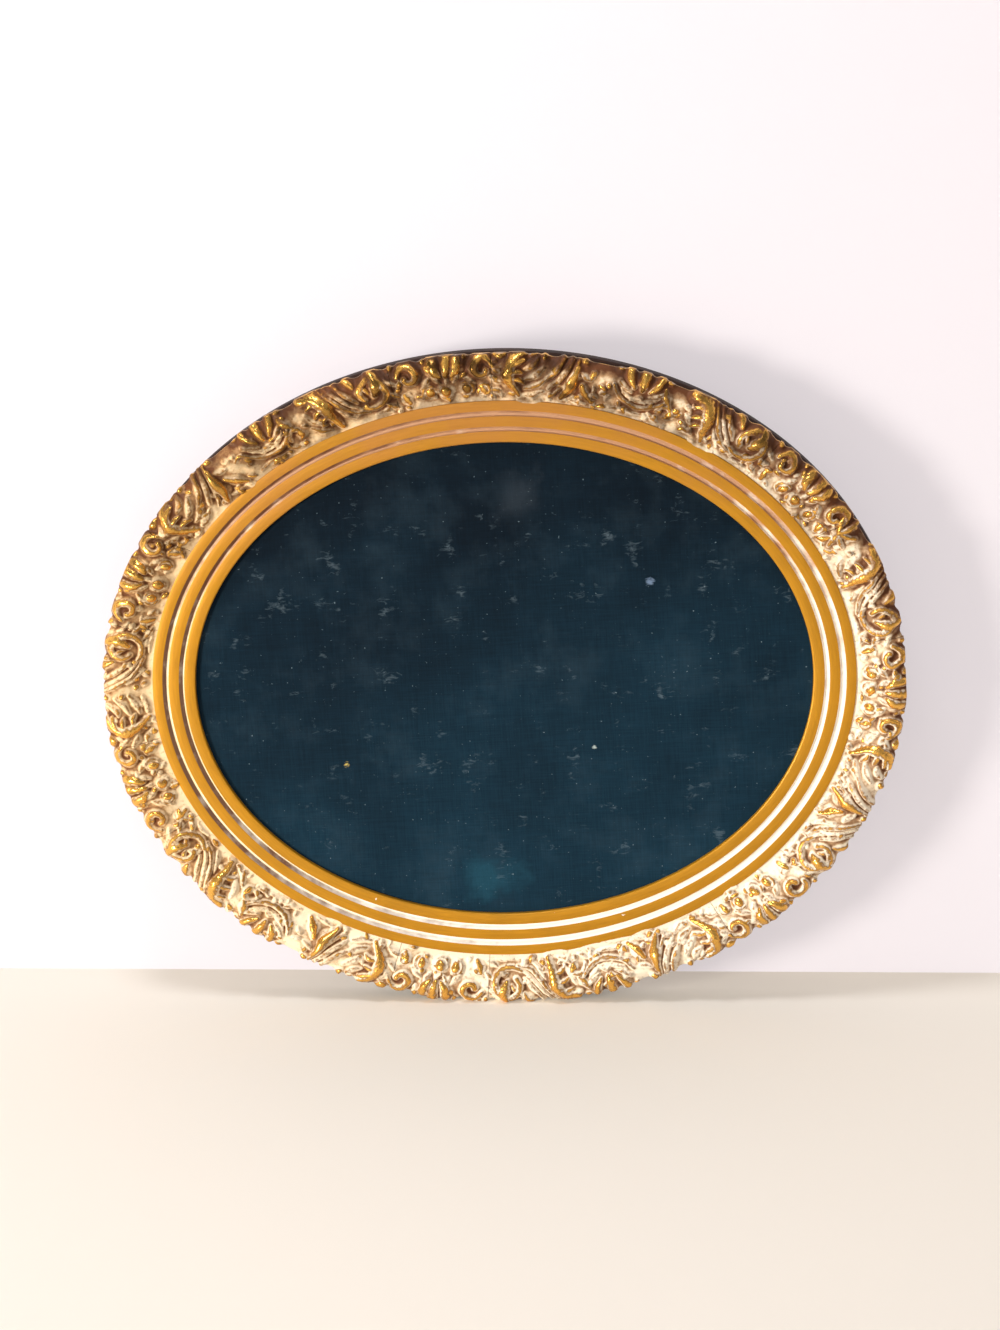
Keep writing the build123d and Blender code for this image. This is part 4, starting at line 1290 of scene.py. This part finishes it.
class OVALFRAME_OT_stage(bpy.types.Operator):
    """Sets up the ledge, the wall, the lamps and the camera"""

    bl_idname = "oval_frame.stage"
    bl_label = "Stage"

    def execute(self, context):
        scene = context.scene
        stage = scene.oval_frame_stage
        floor = backdrop_material("pale_ledge", stage.floor, 0.2)
        wall = backdrop_material("pale_wall", stage.wall, 0.6, bounce=0.7, one_sided=True)
        lean = Matrix.Rotation(radians(stage.tilt), 3, "Y")
        reach, wall_height = 12, 6
        across, along = lean @ Vector((reach, 0, 0)), Vector((0, reach, 0))
        up = lean @ Vector((0, 0, wall_height / 2))
        foot = Vector((0, 0, cad_bounds[0].z))
        stage_plane("ledge", foot, across, along, floor)
        stage_plane("wall", foot + Vector((0, stage.wall_gap, 0)) + up, across, up, wall)
        target = Vector((0, -20 * MM, 0))
        for name, (place, size, watts, tint) in LAMPS.items():
            softbox(name, place, target, size, watts, tint)
        scene.world = bpy.data.worlds.new("soft_room")
        scene.world.use_nodes = True
        background = scene.world.node_tree.nodes["Background"].inputs
        background["Color"].default_value = (0.93, 0.94, 1.0, 1)
        background["Strength"].default_value = 0.3
        scene.view_settings.view_transform = "Standard"
        self.place_camera(scene, stage, target)
        return {"FINISHED"}

    def place_camera(self, scene, stage, target):
        """The photograph's view: above the frame's middle, a little to the right, and rolled a little."""
        turn, rise, roll = radians(4.2), radians(16.4), radians(-3.6)
        pixels_from_middle = Vector((3.0, -17.0))
        pixels_per_mm = 1.249
        focal_pixels = pixels_per_mm * stage.distance / MM
        back = Vector((sin(turn) * cos(rise), -cos(turn) * cos(rise), sin(rise)))
        level = Vector((0, 0, 1)).cross(back).normalized()
        upright = back.cross(level)
        right = level * cos(roll) + upright * sin(roll)
        up = back.cross(right)
        away = pixels_from_middle * (stage.distance / focal_pixels)
        camera = bpy.data.objects.new("camera", bpy.data.cameras.new("camera"))
        camera.data.sensor_width = 36
        camera.data.lens = focal_pixels / stage.long_side * camera.data.sensor_width
        camera.data.clip_end = 50
        camera.location = target + back * stage.distance - right * away.x - up * away.y
        camera.rotation_euler = Matrix((right, up, back)).transposed().to_euler()
        scene.collection.objects.link(camera)
        scene.camera = camera


class OVALFRAME_PT_panel(bpy.types.Panel):
    """Lists the frame's pieces and their settings"""

    bl_idname = "OVALFRAME_PT_panel"
    bl_label = "Oval frame"
    bl_space_type = "VIEW_3D"
    bl_region_type = "UI"
    bl_category = "Oval frame"

    def draw(self, context):
        for settings in SETTINGS:
            group = getattr(context.scene, f"oval_frame_{settings}")
            box = self.layout.box()
            for name in group.__annotations__:
                box.prop(group, name)
        for operator in OPERATORS:
            self.layout.operator(operator.bl_idname)


SETTINGS = {
    "moulding": MouldingSettings,
    "ornament": OrnamentSettings,
    "cloth": ClothSettings,
    "fitting": FittingSettings,
    "stage": StageSettings,
}
OPERATORS = (
    OVALFRAME_OT_moulding,
    OVALFRAME_OT_back_ring,
    OVALFRAME_OT_ornament,
    OVALFRAME_OT_cloth,
    OVALFRAME_OT_fittings,
    OVALFRAME_OT_stage,
)


def register():
    """Registers the settings, the operators and the panel."""
    for name, settings in SETTINGS.items():
        bpy.utils.register_class(settings)
        setattr(bpy.types.Scene, f"oval_frame_{name}", PointerProperty(type=settings))
    for operator in OPERATORS:
        bpy.utils.register_class(operator)
    bpy.utils.register_class(OVALFRAME_PT_panel)


def unregister():
    """Takes back what register does."""
    bpy.utils.unregister_class(OVALFRAME_PT_panel)
    for operator in reversed(OPERATORS):
        bpy.utils.unregister_class(operator)
    for name, settings in SETTINGS.items():
        delattr(bpy.types.Scene, f"oval_frame_{name}")
        bpy.utils.unregister_class(settings)


def main():
    register()
    bpy.ops.oval_frame.moulding()
    bpy.ops.oval_frame.back_ring()
    bpy.ops.oval_frame.ornament()
    bpy.ops.oval_frame.cloth()
    bpy.ops.oval_frame.fittings()
    bpy.ops.oval_frame.stage()


if __name__ == "__main__":
    main()
